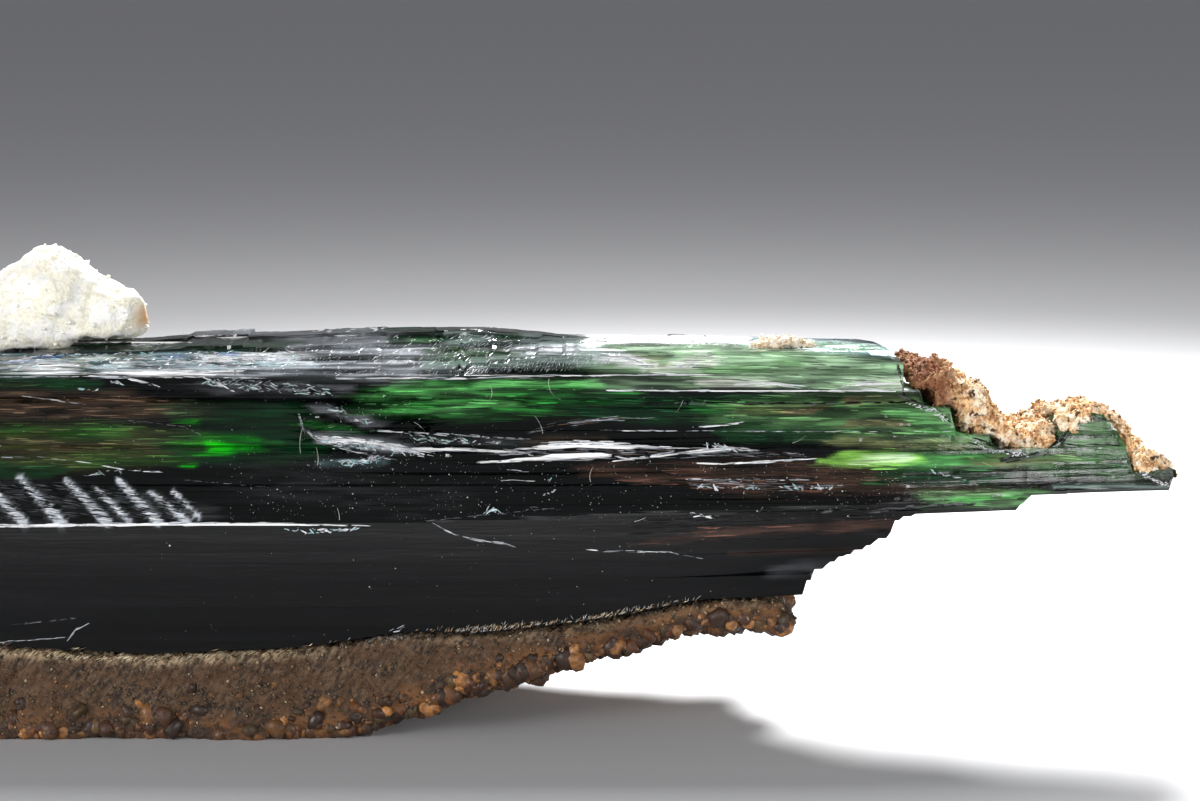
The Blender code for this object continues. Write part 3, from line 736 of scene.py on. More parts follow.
def stroke_weight(px, py, line, ends):
    """How much of a stroke is at each place: 1 on its line and 0 past its half width, with softer ends."""
    best = np.zeros(len(px))
    for (x0, y0, w0), (x1, y1, w1) in zip(line, line[1:]):
        step_x, step_y = x1 - x0, y1 - y0
        share = ((px - x0) * step_x + (py - y0) * step_y) / (step_x ** 2 + step_y ** 2)
        share = np.clip(share, 0, 1)
        away = np.hypot(ends * (px - x0 - share * step_x), py - y0 - share * step_y)
        np.maximum(best, 1 - smooth(0.6, 1.3, away / (w0 + (w1 - w0) * share)), out=best)
    return best


def colour_crystal(crystal):
    """Lays the strokes on the crystal and keeps them as its colour, and how much of it there is."""
    co = coords(crystal) / MM
    front = (co[:, 1] < -1.5) | (co[:, 2] > 18.1)
    seen = np.where(front[:, None], co, co * (1, 0, 1) - (0, 9, 0))
    px, py = picture_place(seen)

    def field(wide, high, seed):
        return np.array([noise.noise(Vector((a / wide, b / high, seed))) for a, b in zip(px, py)])

    streaks = [smooth(-0.22, 0.3, field(48, 2.6, seed)) for seed in (1.0, 5.0, 9.0)]
    wavy_x, wavy_y = px + 22 * field(45, 5, 13.0), py + 1.8 * field(60, 12, 17.0)
    # Painted shade: the laid-on colour on the lit top is halved on its front part left of the picture's
    # middle;
    # apart from that, the top is darker towards its back
    top_painted_shade = front * smooth(18.2, 18.5, co[:, 2]) * (0.5 - 0.5 * smooth(540, 640, px))
    far_top = smooth(18.2, 18.5, co[:, 2]) * 0.4 * smooth(-2.5, 0.5, co[:, 1])
    colour, cover = np.zeros((len(co), 3)), np.zeros(len(co))
    for number, (shade, strength, streaky, *line) in enumerate(THROUGH + FACE):
        steep = abs(line[-1][1] - line[0][1]) > 0.5 * abs(line[-1][0] - line[0][0])
        places = (px, py, line, 1.0) if steep else (wavy_x, wavy_y, line, 0.35)
        weight = strength * stroke_weight(*places) * (1 - streaky * (1 - streaks[number % 3]))
        if number >= len(THROUGH):
            weight = weight * front
        colour = colour * (1 - weight)[:, None] + weight[:, None] * np.array(shade)
        cover = cover + (1 - cover) * weight
    colour /= np.maximum(cover, 0.001)[:, None]
    colour *= ((1 - top_painted_shade) * (1 - far_top))[:, None]
    cover *= smooth(*PAINT_FADE, co[:, 0])
    store(crystal, "paint", colour)
    dull = 1 - smooth(*DULL_FADE, co[:, 0])
    store(crystal, "cover", np.column_stack((cover, dull, cover)))
    return colour * cover[:, None]


# What the crystal's inside lets through, and how strongly it absorbs the rest, per metre
ABSORBED = (0.2, 0.52, 0.22, 1)
ABSORPTION = 130.0


def crystal_material():
    """Dark glass that lets some light through, with the laid-on colours, duller where they are pale and
    less clear where their green is strong, as in the painted highlights and painted glow.
    """
    made = Nodes("vivianite")
    _, green, blue = made.attribute("paint")
    cover, dull, _ = made.attribute("cover")
    streak = made.noise((90.0, 700.0, 2600.0), 4.0, 0.6)
    fine = made.noise((300.0, 3000.0, 9000.0), 4.0, 0.65)
    grain = made.noise((1800.0, 2600.0, 5000.0), 4.0, 0.7)
    dark = made.mix(made.span(streak, 0.4, 0.7), (0.001, 0.0015, 0.0015), (0.005, 0.0055, 0.007))
    varied = made.span(fine, 0.3, 0.7, 0.55, 1.5)
    varied = made.math("MULTIPLY", varied, made.span(streak, 0.3, 0.7, 0.8, 1.25))
    tone = made.mix(1.0, made.shade("paint"), varied, "MULTIPLY")
    colour = made.mix(made.math("MULTIPLY", cover, made.span(fine, 0.25, 0.5, 0.75, 1.0)), dark, tone)
    # Painted light: how much of the laid-on colour is painted highlight and painted glow, read from its
    # green
    painted_light = made.span(made.math("MULTIPLY", green, cover), 0.0, 0.45)
    frosted = made.span(made.math("MULTIPLY", blue, cover), 0.12, 0.5)
    rough = made.span(streak, 0.4, 0.7, 0.06, 0.15)
    rough = made.math("ADD", rough, made.math("MULTIPLY", frosted, 0.25))
    rough = made.math("ADD", rough, made.math("MULTIPLY", dull, 0.5))
    normal = made.bump(fine, 0.00002, 0.5)
    normal = made.bump(made.math("MULTIPLY", grain, frosted), 0.00006, 0.6, normal)
    made.set(
        Base_Color=colour, Roughness=rough, Normal=normal, IOR=1.6, Specular_IOR_Level=0.17,
        Transmission_Weight=made.span(painted_light, 0.0, 1.0, 0.62, 0.15),
    )
    absorb = made.tree.nodes.new("ShaderNodeVolumeAbsorption")
    absorb.inputs["Color"].default_value = ABSORBED
    absorb.inputs["Density"].default_value = ABSORPTION
    out = next(n for n in made.tree.nodes if n.type == "OUTPUT_MATERIAL")
    made.tree.links.new(absorb.outputs["Volume"], out.inputs["Volume"])
    return made.material


# Flakes and needles on the faces, with painted highlights, painted reflections and painted shade among them
# A kind of flake: its shades (none means the colour under it), lengths and half widths in pixels, whether
# it lies level and not along its mark, its turn and the spread of that in degrees, and how much of the
# mark it covers (0 is one flake alone)
KINDS = {
    # grain flakes take the laid-on colour under them, with its painted highlights and glow
    "grain": ((), (14, 60), (0.25, 0.9), False, 0, 1.5, 0.45),
    # flash, core and line flakes are painted highlights, white where faces would mirror the light
    "flash": ((WHITE, WHITE, WHITE, SILVER), (12, 44), (0.35, 1.0), False, 0, 1.2, 1.9),
    "core": ((WHITE,), (1, 1), (1, 1), False, 0, 0, 0),
    "silk": ((SILVER, GREY, UMBER, STONE), (10, 40), (0.2, 0.5), False, 0, 2.5, 0.6),
    "glint": ((ICE, WHITE, SILVER), (4, 13), (0.4, 1.2), False, 0, 26, 0.9),
    # comb flakes are painted reflections on the comb's bars, and gap flakes lie near black between them
    "comb": ((WHITE, WHITE, SILVER), (7, 15), (0.3, 0.6), True, 2, 4, 0.3),
    "gap": ((NEAR_BLACK, NEAR_BLACK, STONE), (8, 18), (0.3, 0.6), True, 8, 4, 0.5),
    "thread": ((WHITE, SILVER, GREY), (7, 26), (0.2, 0.5), False, 0, 1.5, 0.8),
    "faint": ((GREY, STONE), (5, 14), (0.2, 0.4), False, 0, 1.5, 0.5),
    "crumple": ((GREY, SILVER, STONE, FROST), (5, 15), (0.3, 1.1), False, 0, 26, 0.6),
    "scratch": ((WHITE, SILVER, GREY), (4, 11), (0.2, 0.45), True, -50, 14, 0.6),
    # These white flakes are a painted highlight along the top's rim, and white rims along the clay's edge
    "snow": ((WHITE, WHITE, SILVER), (3, 10), (0.4, 1.0), True, 0, 30, 0.9),
    # These near-black flakes are painted shade where the crystal meets the clay, and dark lines on its
    # right part
    "soot": ((NEAR_BLACK, NEAR_BLACK, STONE), (8, 30), (0.5, 1.4), False, 0, 3, 1.2),
    "fibre": (((0.75, 0.62, 0.4), (0.8, 0.7, 0.5), TAN, EARTH), (5, 11), (0.35, 0.8), True, -32, 10, 1.6),
    "sparkle": (((0.6, 0.5, 0.33), SILVER, TAN, EARTH), (3, 7), (0.25, 0.5), True, -60, 25, 0.5),
    "line": ((WHITE,), (1, 1), (1, 1), False, 0, 0, 0),
}
# How far some kinds stand out from the faces, in millimetres
LIFTS = {"fibre": 0.12, "sparkle": 0.08, "gap": 0.02}
# Where the flakes of each kind lie: lines of (across, down, half width), in pixels of the picture
MARKS = {
    "grain": (
        ((-300, 425, 45), (0, 425, 45), (200, 425, 45)), ((380, 400, 22), (600, 400, 22)),
        ((590, 404, 13), (750, 410, 14)), ((740, 420, 28), (930, 424, 28), (990, 445, 20)),
        ((600, 362, 20), (800, 366, 22), (900, 372, 18)), ((620, 478, 16), (1000, 480, 16)),
        ((640, 530, 16), (900, 520, 16)), ((1062, 445, 24), (1125, 450, 26)),
        ((-200, 362, 14), (0, 362, 14), (300, 362, 14)), ((960, 494, 12), (1035, 496, 12)),
    ),
    # Painted shade where the crystal meets the clay, and dark lines on its right part
    "soot": (
        ((1000, 461, 3), (1040, 453, 6), (1060, 440, 6), (1080, 416, 3)),
        ((1108, 412, 1), (1128, 446, 3), (1146, 476, 3), (1175, 487, 1.5)),
        ((896, 360, 1), (906, 398, 2), (940, 412, 2), (975, 440, 2), (1010, 452, 2)),
        ((820, 512, 1), (870, 510, 4), (925, 506, 4), (980, 503, 2)),
        ((640, 404, 1), (720, 403, 2), (800, 404, 1.5), (915, 402, 1)),
        ((1062, 444, 0.6), (1100, 445, 1.2), (1128, 446, 0.8)),
    ),
    "scratch": (
        ((250, 362, 14), (350, 356, 20), (450, 354, 20), (560, 352, 18), (620, 350, 12)),
    ),
    # A painted highlight along the top's rim, and white rims along the clay's edge
    "snow": (
        ((588, 340, 6), (700, 342, 7), (800, 344, 8), (860, 346, 9), (894, 352, 5)),
        ((205, 328, 3), (360, 328, 4), (395, 326, 3)), ((460, 324, 2), (590, 332, 3)),
        ((905, 402, 1.5), (935, 412, 3), (965, 432, 3), (985, 450, 3), (1030, 456, 2)),
        ((1128, 452, 2), (1148, 478, 3), (1172, 486, 2)),
    ),
    # Painted highlights: white streaks across the front and along the lower ridge
    "flash": (
        ((605, 356, 3), (630, 358, 4), (650, 364, 4)), ((678, 366, 3), (700, 362, 5)),
        ((740, 384, 1), (765, 383, 3), (800, 386, 2)), ((840, 387, 1), (866, 384, 2), (905, 384, 2)),
        ((0, 350, 1.5), (20, 352, 3), (48, 362, 4), (60, 374, 2)),
        ((96, 374, 1.5), (150, 372, 3), (200, 372, 3), (240, 371, 1.5)), ((210, 358, 1.5), (290, 359, 2)),
        ((120, 363, 1), (180, 361, 2), (300, 362, 1)),
        ((340, 378.5, 0.8), (460, 378.5, 1), (560, 375.8, 1), (700, 374.8, 0.8)),
        ((590, 390.3, 0.8), (760, 391, 1), (914, 390.5, 1.2)),
        ((-300, 527, 1.4), (0, 525.8, 1.8), (90, 525, 2), (187, 523.8, 2), (260, 523.6, 1.4),
         (368, 525.6, 0.7)), ((320, 438, 1), (350, 440, 4), (380, 444, 4), (420, 452, 2)),
        ((330, 439, 3), (365, 443, 6), (405, 450, 4)),
        ((416, 449, 3), (460, 449.5, 2.2), (514, 452, 1.8), (534, 455, 1)),
        ((520, 449, 0.8), (552, 444.8, 3), (580, 443.2, 4), (610, 444.6, 3.4), (648, 447, 1.8),
         (690, 448, 1)),
        ((486, 462, 1), (520, 460.5, 2), (548, 458.5, 3.6), (580, 456.5, 4.2), (608, 455, 2.2),
         (626, 458, 0.8)),
        ((616, 461, 0.8), (661, 455, 1.8), (704, 450, 1.8), (730, 448.5, 1.8), (754, 450, 0.8)),
        ((683, 463, 0.6), (728, 464, 1.4), (770, 461.5, 1.6), (812, 459, 0.9)),
        ((697, 427, 0.7), (720, 426, 1.4), (742, 423, 0.9)),
        ((94, 376.5, 0.8), (129, 378.5, 1.6), (150, 384, 1.4), (162, 388, 0.8)),
        ((206, 379, 1), (219, 384.5, 2.2), (231, 390, 1.4)),
    ),
    # Painted highlights: thin white lines along the top's steps and a ledge
    "line": (
        ((60, 342.6, 0.7), (205, 342.4, 0.7)), ((110, 344, 0.5), (208, 350, 0.7)),
        ((205, 338, 0.6), (372, 335, 0.8)), ((390, 333.6, 0.8), (450, 334, 0.8)),
        ((600, 391, 0.5), (914, 390.5, 0.7)),
    ),
    # Painted highlights: the brightest cores of the white streaks
    "core": (
        ((98, 373.5, 1.5), (198, 373.5, 1.5)), ((-140, 526, 1.2), (60, 525.5, 1.2)),
        ((0, 525.3, 1.3), (200, 524, 1.3)), ((150, 524.4, 1.2), (330, 524.4, 0.8)),
        ((420, 449.5, 1.6), (522, 452.5, 1.2)), ((528, 448.5, 2.6), (600, 443, 2.8)),
        ((555, 443, 3.4), (655, 447, 2.6)), ((500, 461, 2.2), (585, 457.5, 2.8)),
        ((535, 458, 3.6), (618, 456, 3.0)), ((622, 460, 0.9), (740, 448.8, 0.9)),
    ),
    "glint": (
        ((0, 362, 8), (300, 358, 8)), ((281, 529, 1), (310, 531, 3), (345, 530, 2.4), (362, 527, 0.8)),
        ((316, 438, 2), (345, 443, 6), (385, 448, 6), (424, 455, 4)),
        ((330, 462, 2), (350, 463, 4), (366, 461, 4), (384, 457, 2)),
        ((702, 444, 1), (716, 446, 4), (735, 450, 2)), ((697, 486, 1), (710, 487, 3), (724, 489, 1)),
        ((734, 487, 1), (748, 488, 2.6), (762, 489, 1)), ((778, 487, 1), (800, 488, 3), (832, 488, 1)),
        ((545, 482, 0.7), (563, 472, 0.7)), ((544, 495, 0.8), (550, 492, 2.2), (558, 490, 0.8)),
        ((485, 514, 1), (491, 509, 4), (497, 510, 4), (503, 514, 1)),
        ((688, 515, 1), (697, 514, 3), (709, 517, 1)), ((109, 382, 1), (117, 383, 2), (125, 386, 1)),
        ((80, 389, 1), (98, 390, 1)), ((930, 471, 1), (966, 480, 1)),
    ),
    "thread": (
        ((0, 377, 0.8), (120, 376.5, 0.9), (260, 378, 0.8)),
        ((299, 415, 1), (303, 428, 2), (319, 441, 2), (356, 452, 1.6), (400, 461, 1)),
        ((380, 431, 1.2), (460, 435, 1.6), (525, 439, 1)),
        ((683, 479, 0.8), (712, 479.5, 1.6), (760, 480, 1.2), (806, 480, 0.8)),
        ((620, 431, 0.6), (780, 431, 0.7)), ((500, 469, 0.7), (528, 472, 0.7)),
        ((500, 480, 0.6), (530, 481, 0.6)),
        ((429, 521, 0.8), (443, 529, 1.2), (457, 535.5, 1.2), (483, 541, 1.5), (506, 544, 1.7),
         (521, 549.5, 1)),
        ((584, 549, 0.7), (607, 551, 1.2), (670, 552, 1), (687, 556, 0.9), (702, 558.5, 0.6)),
        ((0, 642, 0.9), (41, 639, 1), (70, 637, 1.1), (75, 631, 1.6), (84, 626, 1)),
        ((24, 396, 0.8), (54, 400, 1.1), (90, 404.5, 0.9)),
        ((0, 457, 0.5), (40, 457, 0.6), (88, 463, 0.7), (129, 470.5, 0.8), (171, 472.5, 0.5)),
        ((750, 431.5, 0.5), (850, 431.5, 0.7), (972, 431.5, 0.5)),
    ),
    "gap": (
        ((-120, 500, 18), (0, 500, 20), (110, 502, 17), (190, 510, 9)),
    ),
    "crumple": (
        ((330, 408, 3), (352, 416, 5), (372, 424, 5)), ((205, 382, 4), (260, 386, 7), (330, 392, 7)),
        ((410, 438, 4), (450, 441, 4), (500, 443, 2)), ((522, 512, 1), (540, 505, 1)),
        ((370, 641, 1.2), (385, 636, 3.6), (397, 631, 3.4), (412, 620, 1)),
        ((86, 476, 1), (110, 472, 3), (126, 470, 1)),
    ),
    "silk": (
        ((500, 452, 3), (560, 452, 8), (640, 452, 8), (740, 452, 6), (800, 456, 2)),
        ((690, 482, 3), (760, 486, 6), (840, 486, 3)),
        ((530, 432, 1), (560, 426, 6), (600, 420, 4), (650, 418, 1)),
    ),
    "faint": (
        ((600, 430, 0.8), (660, 430, 0.8)), ((428, 521, 0.8), (487, 515, 1.2), (567, 507, 0.8)),
        ((0, 626, 1), (77, 618, 0.8)),
        ((80, 424, 0.6), (129, 421, 0.9), (150, 422, 1), (184, 427, 0.8), (205, 437, 0.6)),
        ((171, 479, 0.6), (270, 487, 0.6)),
    ),
    "fibre": (
        ((-300, 645, 3), (0, 646, 3), (40, 650, 5), (80, 655, 7), (130, 656, 5), (230, 653, 4),
         (325, 646, 3)),
    ),
    "sparkle": (
        ((325, 645, 4), (420, 634, 6), (560, 624, 5), (700, 600, 4), (800, 598, 3)),
    ),
    # Painted reflections on the comb's bars
    "comb": COMB,
}


def needle(tree, px, py, angle, length, half, blunt=0.17, lift=0.0):
    """One closed spindle along a face, at a place of the picture, and the number of the triangle under it.

    Off the faces, or across a deep step, it gives None.
    """
    along_x, along_y = math.cos(angle), math.sin(angle)
    across = PICTURE_RIGHT * along_y + PICTURE_UP * along_x
    stops = (-0.5, -blunt, blunt, 0.5) if length > 9 else (-0.5, 0.0, 0.5)
    ring_start, verts, faces, before, under = [], [], [], None, 0
    for stop in stops:
        ray = ray_through(px + along_x * length * stop, py + along_y * length * stop)
        hit, _, number, _ = tree.ray_cast(CAMERA_AT, ray)
        deepest = 0.35 + 0.01 * length + lift
        if hit is None or hit.y > 9 or (before is not None and abs(hit.y - before) > deepest):
            return None
        before = hit.y
        hit = hit - ray * lift
        ring_start.append(len(verts))
        if abs(stop) == 0.5:
            verts.append(hit + ray * 0.02)
        else:
            under = number
            wide = across * half * PIXEL
            crest = hit - ray * (0.006 + 0.4 * min(half, 1.5) * PIXEL)
            verts += [hit + wide, crest, hit - wide, hit + ray * 0.05]
    for start, end in zip(ring_start, ring_start[1:]):
        for k in range(4):
            m = (k + 1) % 4
            if start == 0:
                faces.append((0, end + m, end + k))
            elif end == ring_start[-1]:
                faces.append((start + k, start + m, end))
            else:
                faces.append((start + k, start + m, end + m, end + k))
    return verts, faces, under


def tree_of(*pieces):
    """What rays from the camera meet, in millimetres."""
    corners, polygons = [], []
    for piece in pieces:
        start = len(corners)
        corners += [tuple(p) for p in coords(piece) / MM]
        polygons += [tuple(start + i for i in p.vertices) for p in piece.data.polygons]
    return BVHTree.FromPolygons(corners, polygons)


def build_flakes(tree, crystal, paint):
    """Scatters the flakes of every kind over their marks."""
    rng = np.random.default_rng(71)
    verts, faces, shades = [], [], []
    polygons = crystal.data.polygons

    def keep(made, shade):
        if made is None or (shade is None and made[2] >= len(polygons)):
            return
        if shade is None:
            shade = paint[polygons[made[2]].vertices[0]] * rng.choice((0.35, 0.6, 1.5, 2.0)) + 0.006
        start = len(verts)
        verts.extend(tuple(v) for v in made[0])
        faces.extend(tuple(start + i for i in face) for face in made[1])
        shades.extend([tuple(np.minimum(shade, 0.95))] * len(made[0]))

    for kind, line in [(kind, line) for kind, lines in MARKS.items() for line in lines]:
        palette, lengths, halves, level, turn, spread, cover = KINDS[kind]
        parts = list(zip(line, line[1:]))
        if not cover:
            (x0, y0, w0), (x1, y1, _) = line
            angle, length = math.atan2(y1 - y0, x1 - x0), math.hypot(x1 - x0, y1 - y0)
            keep(needle(tree, (x0 + x1) / 2, (y0 + y1) / 2, angle, length, w0, 0.3), np.array(palette[0]))
            continue
        steps = [math.hypot(x1 - x0, y1 - y0) for (x0, y0, _), (x1, y1, _) in parts]
        areas = np.array([step * (start[2] + end[2]) for step, (start, end) in zip(steps, parts)])
        mean = (sum(lengths) / 2) * sum(halves) * 0.6
        total = sum(steps)
        for _ in range(max(2, round(cover * areas.sum() / mean))):
            (x0, y0, w0), (x1, y1, w1) = parts[rng.choice(len(parts), p=areas / areas.sum())]
            step = math.hypot(x1 - x0, y1 - y0)
            share, side = rng.uniform(), rng.triangular(-1, 0, 1) if w0 + w1 < 16 else rng.uniform(-1, 1)
            out = (w0 + (w1 - w0) * share) * side
            px = x0 + (x1 - x0) * share - (y1 - y0) / step * out
            py = y0 + (y1 - y0) * share + (x1 - x0) / step * out
            angle = 0.0 if level else math.atan2(y1 - y0, x1 - x0)
            angle += math.radians(rng.normal(turn, spread))
            length = min(rng.uniform(*lengths), total * 0.6)
            half = rng.uniform(*halves) * (1 - 0.45 * abs(side))
            shade = None
            if palette:
                shade = np.array(palette[rng.integers(len(palette))]) * rng.uniform(0.6, 1.05)
            keep(needle(tree, px, py, angle, length, half, lift=LIFTS.get(kind, 0.0)), shade)
    flakes = mesh_object("flakes_and_painted_light", verts, faces)
    store(flakes, "shade", shades)
    mend(flakes, lambda bm: bmesh.ops.triangulate(bm, faces=bm.faces))
    # Many of these flakes are painted highlights, reflections and shade; the rest are marks on the faces
    made = Nodes("flakes and painted light")
    threads = made.noise((300.0, 900.0, 9000.0), 3.0, 0.6)
    made.set(
        Base_Color=made.mix(1.0, made.shade(), made.span(threads, 0.45, 0.7, 1.0, 0.6), "MULTIPLY"),
        Roughness=made.span(threads, 0.4, 0.6, 0.18, 0.4), IOR=1.6, Specular_IOR_Level=0.3,
        Normal=made.bump(threads, 0.00002, 0.4),
    )
    dress(flakes, made.material)


# Where the dust lies, in pixels of the picture: left, right, high, low, and how many specks
DUST_ZONES = (
    (230, 900, 462, 520, 620), (60, 960, 385, 470, 200), (150, 780, 520, 640, 110),
    (300, 420, 400, 470, 120), (0, 230, 395, 475, 40), (700, 960, 455, 500, 110),
)
# Fibres of lint: the middle (across, down) and length in pixels, and the angle and bend in degrees
LINT = (
    (492, 392, 22, 95, 20), (551, 392, 26, 120, -14), (680, 407, 14, 60, 4), (420, 426, 14, 140, 5),
    (590, 474, 16, 80, -10), (540, 424, 20, 115, 6), (339, 514, 12, 100, 4), (703, 404, 8, 50, 3),
    (800, 440, 16, 30, 6), (300, 440, 26, 85, -5), (318, 456, 18, 95, 5), (640, 520, 12, 20, 3),
)
# Corners along and around a fibre, its radius in millimetres and its shade
LINT_ROWS, LINT_SIDES, LINT_RADIUS, LINT_SHADE = 13, 5, 0.011, (0.62, 0.6, 0.55)


def build_dust(tree):
    """Specks of dust and a few lint fibres on the front."""
    rng = np.random.default_rng(51)
    places, sizes = [], []
    for left, right, high, low, count in DUST_ZONES:
        for _ in range(count):
            ray = ray_through(rng.uniform(left, right), rng.uniform(high, low))
            hit, normal, _, _ = tree.ray_cast(CAMERA_AT, ray)
            size = 0.01 + 0.016 * rng.uniform() ** 3 + 0.03 * (rng.uniform() < 0.02)
            if hit and hit.y < 0:
                places.append(np.array(hit + normal * size * 0.5))
                sizes.append(size)
    shade = rng.uniform(0.55, 0.95, (len(places), 1)) * np.array((1.0, 1.0, 0.97))
    dust = scatter("dust", blob_shapes(4, 1, 0.5, 52), places, sizes, shade, 53, (0.6, 1.1))
    made = Nodes("dust and lint")
    made.set(Base_Color=made.mix(made.noise(9000.0), made.shade(), (0.6, 0.58, 0.54)), Roughness=0.8)
    dress(dust, made.material)
    verts, faces = [], []
    for px, py, length, angle, bend in LINT:
        before = None
        for k in range(LINT_ROWS):
            share = k / (LINT_ROWS - 1)
            turn = math.radians(angle + bend * (share - 0.5) * 3)
            out = length * (share - 0.5)
            ray = ray_through(px + out * math.cos(turn), py - out * math.sin(turn))
            hit, normal, _, _ = tree.ray_cast(CAMERA_AT, ray)
            if hit is None:
                before = None
                continue
            middle = hit - ray * (0.03 + 0.12 * math.sin(math.pi * share))
            across = Vector((math.sin(turn), 0, math.cos(turn)))
            start = len(verts)
            for side in range(LINT_SIDES):
                swing = 2 * math.pi * side / LINT_SIDES
                round_it = normal * math.cos(swing) + across * math.sin(swing)
                verts.append(tuple(middle + LINT_RADIUS * round_it))
            for i in range(LINT_SIDES if before is not None else 0):
                m = (i + 1) % LINT_SIDES
                faces.append((before + i, before + m, start + m, start + i))
            before = start
    lint = mesh_object("lint", verts, faces)
    store(lint, "shade", [LINT_SHADE] * len(verts))
    mend(
        lint,
        lambda bm: bmesh.ops.delete(bm, geom=[v for v in bm.verts if not v.link_faces], context="VERTS"),
        lambda bm: bmesh.ops.holes_fill(bm, edges=bm.edges, sides=6),
    )
    dress(lint, made.material)


# Rough pieces: crust and clay
def at_tip(x):
    """How much a place belongs to the tip's peak, from 0 to 1."""
    return smooth(26.8, 28.6, x)


def rough_copy(name, node, voxel, steps, grow=0.0, tip_grow=None):
    """A finer copy of a CAD node, grown a little and roughened along its normals by noise (size, depth)."""
    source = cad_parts[node]
    obj = bpy.data.objects.new(name, source.data.copy())
    bpy.context.scene.collection.objects.link(obj)
    remesh = obj.modifiers.new("remesh", "REMESH")
    remesh.mode = "VOXEL"
    remesh.voxel_size = voxel * MM
    applied(obj)
    co = coords(obj)
    normals = np.empty(len(co) * 3)
    obj.data.vertices.foreach_get("normal", normals)
    normals = normals.reshape(-1, 3)
    moved = np.zeros(len(co))
    for seed, (size, depth) in enumerate(steps):
        offset = Vector((13.1 * seed, 7.7 * seed, 3.3 * seed))
        moved += depth * np.array([noise.noise(Vector(p) / (size * MM) + offset) for p in co])
    if tip_grow is not None:
        moved += (tip_grow - grow) * at_tip(co[:, 0] / MM)
    co += normals * (moved + grow)[:, None] * MM
    co[:, 2] = np.maximum(co[:, 2], 0.0)
    obj.data.vertices.foreach_set("co", co.ravel())
    obj.data.update()
    return obj


def blob_shapes(kinds, detail, uneven, seed):
    """A few uneven round shapes of radius 1 as (corners, triangles)."""
    rng = np.random.default_rng(seed)
    shapes = []
    for _ in range(kinds):
        bm = bmesh.new()
        bmesh.ops.create_icosphere(bm, subdivisions=detail, radius=1)
        shift = Vector(rng.uniform(0, 50, 3))
        for v in bm.verts:
            v.co *= 1 + uneven * noise.noise(v.co * 1.3 + shift)
        bm.verts.ensure_lookup_table()
        corners = np.array([v.co for v in bm.verts])
        shapes.append((corners, np.array([[v.index for v in f.verts] for f in bm.faces])))
        bm.free()
    return shapes


def random_turns(rng, count):
    """Random rotations, as matrices."""
    q = rng.normal(size=(count, 4))
    q /= np.linalg.norm(q, axis=1)[:, None]
    w, x, y, z = q.T
    return np.stack((
        1 - 2 * (y * y + z * z), 2 * (x * y - z * w), 2 * (x * z + y * w),
        2 * (x * y + z * w), 1 - 2 * (x * x + z * z), 2 * (y * z - x * w),
        2 * (x * z - y * w), 2 * (y * z + x * w), 1 - 2 * (x * x + y * y),
    ), 1).reshape(-1, 3, 3)


def scatter(name, shapes, places, sizes, shades, seed, flat=(0.7, 1.0)):
    """One mesh of many small shapes (places and sizes in millimetres), each with its own shade."""
    rng = np.random.default_rng(seed)
    turns = random_turns(rng, len(places))
    verts, faces, colours, start = [], [], [], 0
    for place, size, shade, turn in zip(places, sizes, shades, turns):
        corners, triangles = shapes[rng.integers(len(shapes))]
        stretch = rng.uniform(*flat, 3)
        verts.append((corners * stretch) @ turn.T * size + place)
        faces.append(triangles + start)
        colours.append(np.tile(shade, (len(corners), 1)))
        start += len(corners)
    verts = np.concatenate(verts)
    verts[:, 2] = np.maximum(verts[:, 2], 0.0)
    obj = mesh_object(name, verts, np.concatenate(faces).tolist())
    store(obj, "shade", np.concatenate(colours))
    obj.data.shade_smooth()
    return obj


def surface_samples(obj, count, seed, keep=None):
    """Random points (mm) with normals on obj's triangles, spread by area; keep says which are wanted."""
    mesh = obj.data
    mesh.calc_loop_triangles()
    tri = np.array([t.vertices[:] for t in mesh.loop_triangles])
    co = coords(obj) / MM
    a, b, c = co[tri[:, 0]], co[tri[:, 1]], co[tri[:, 2]]
    cross = np.cross(b - a, c - a)
    area = np.linalg.norm(cross, axis=1)
    rng = np.random.default_rng(seed)
    weight = area * (keep((a + b + c) / 3, cross / np.maximum(area, 1e-12)[:, None]) if keep else 1.0)
    pick = rng.choice(len(tri), count, p=weight / weight.sum())
    u, v = rng.uniform(0, 1, (2, count))
    flip = u + v > 1
    u[flip], v[flip] = 1 - u[flip], 1 - v[flip]
    points = a[pick] + (b - a)[pick] * u[:, None] + (c - a)[pick] * v[:, None]
    return points, (cross / np.maximum(area, 1e-12)[:, None])[pick]


# The crust's underside along it: its places and heights
UNDERSIDE = (
    (-33.4, -6.6, -4.6, -1.8, 1.8, 4.8, 8.0, 11.8, 16.6),
    (0, 0, 0.9, 1.8, 2.9, 3.8, 4.7, 5.6, 5.8),
)
GRAIN_TONES = (
    (0.17, 0.062, 0.017), (0.09, 0.03, 0.01), (0.28, 0.12, 0.035), (0.035, 0.014, 0.006),
    (0.1, 0.055, 0.018), (0.05, 0.022, 0.01), (0.42, 0.18, 0.05), (0.12, 0.045, 0.013),
)
PALE_CRUMB, BROWN_CRUMB, ORANGE_CRUMB = (0.42, 0.32, 0.2), (0.1, 0.066, 0.038), (0.34, 0.15, 0.05)


def contact_at(places):
    """How high the crust reaches up the crystal at each of the places (their x)."""
    return np.array([along(CONTACT, x)[0] for x in places])


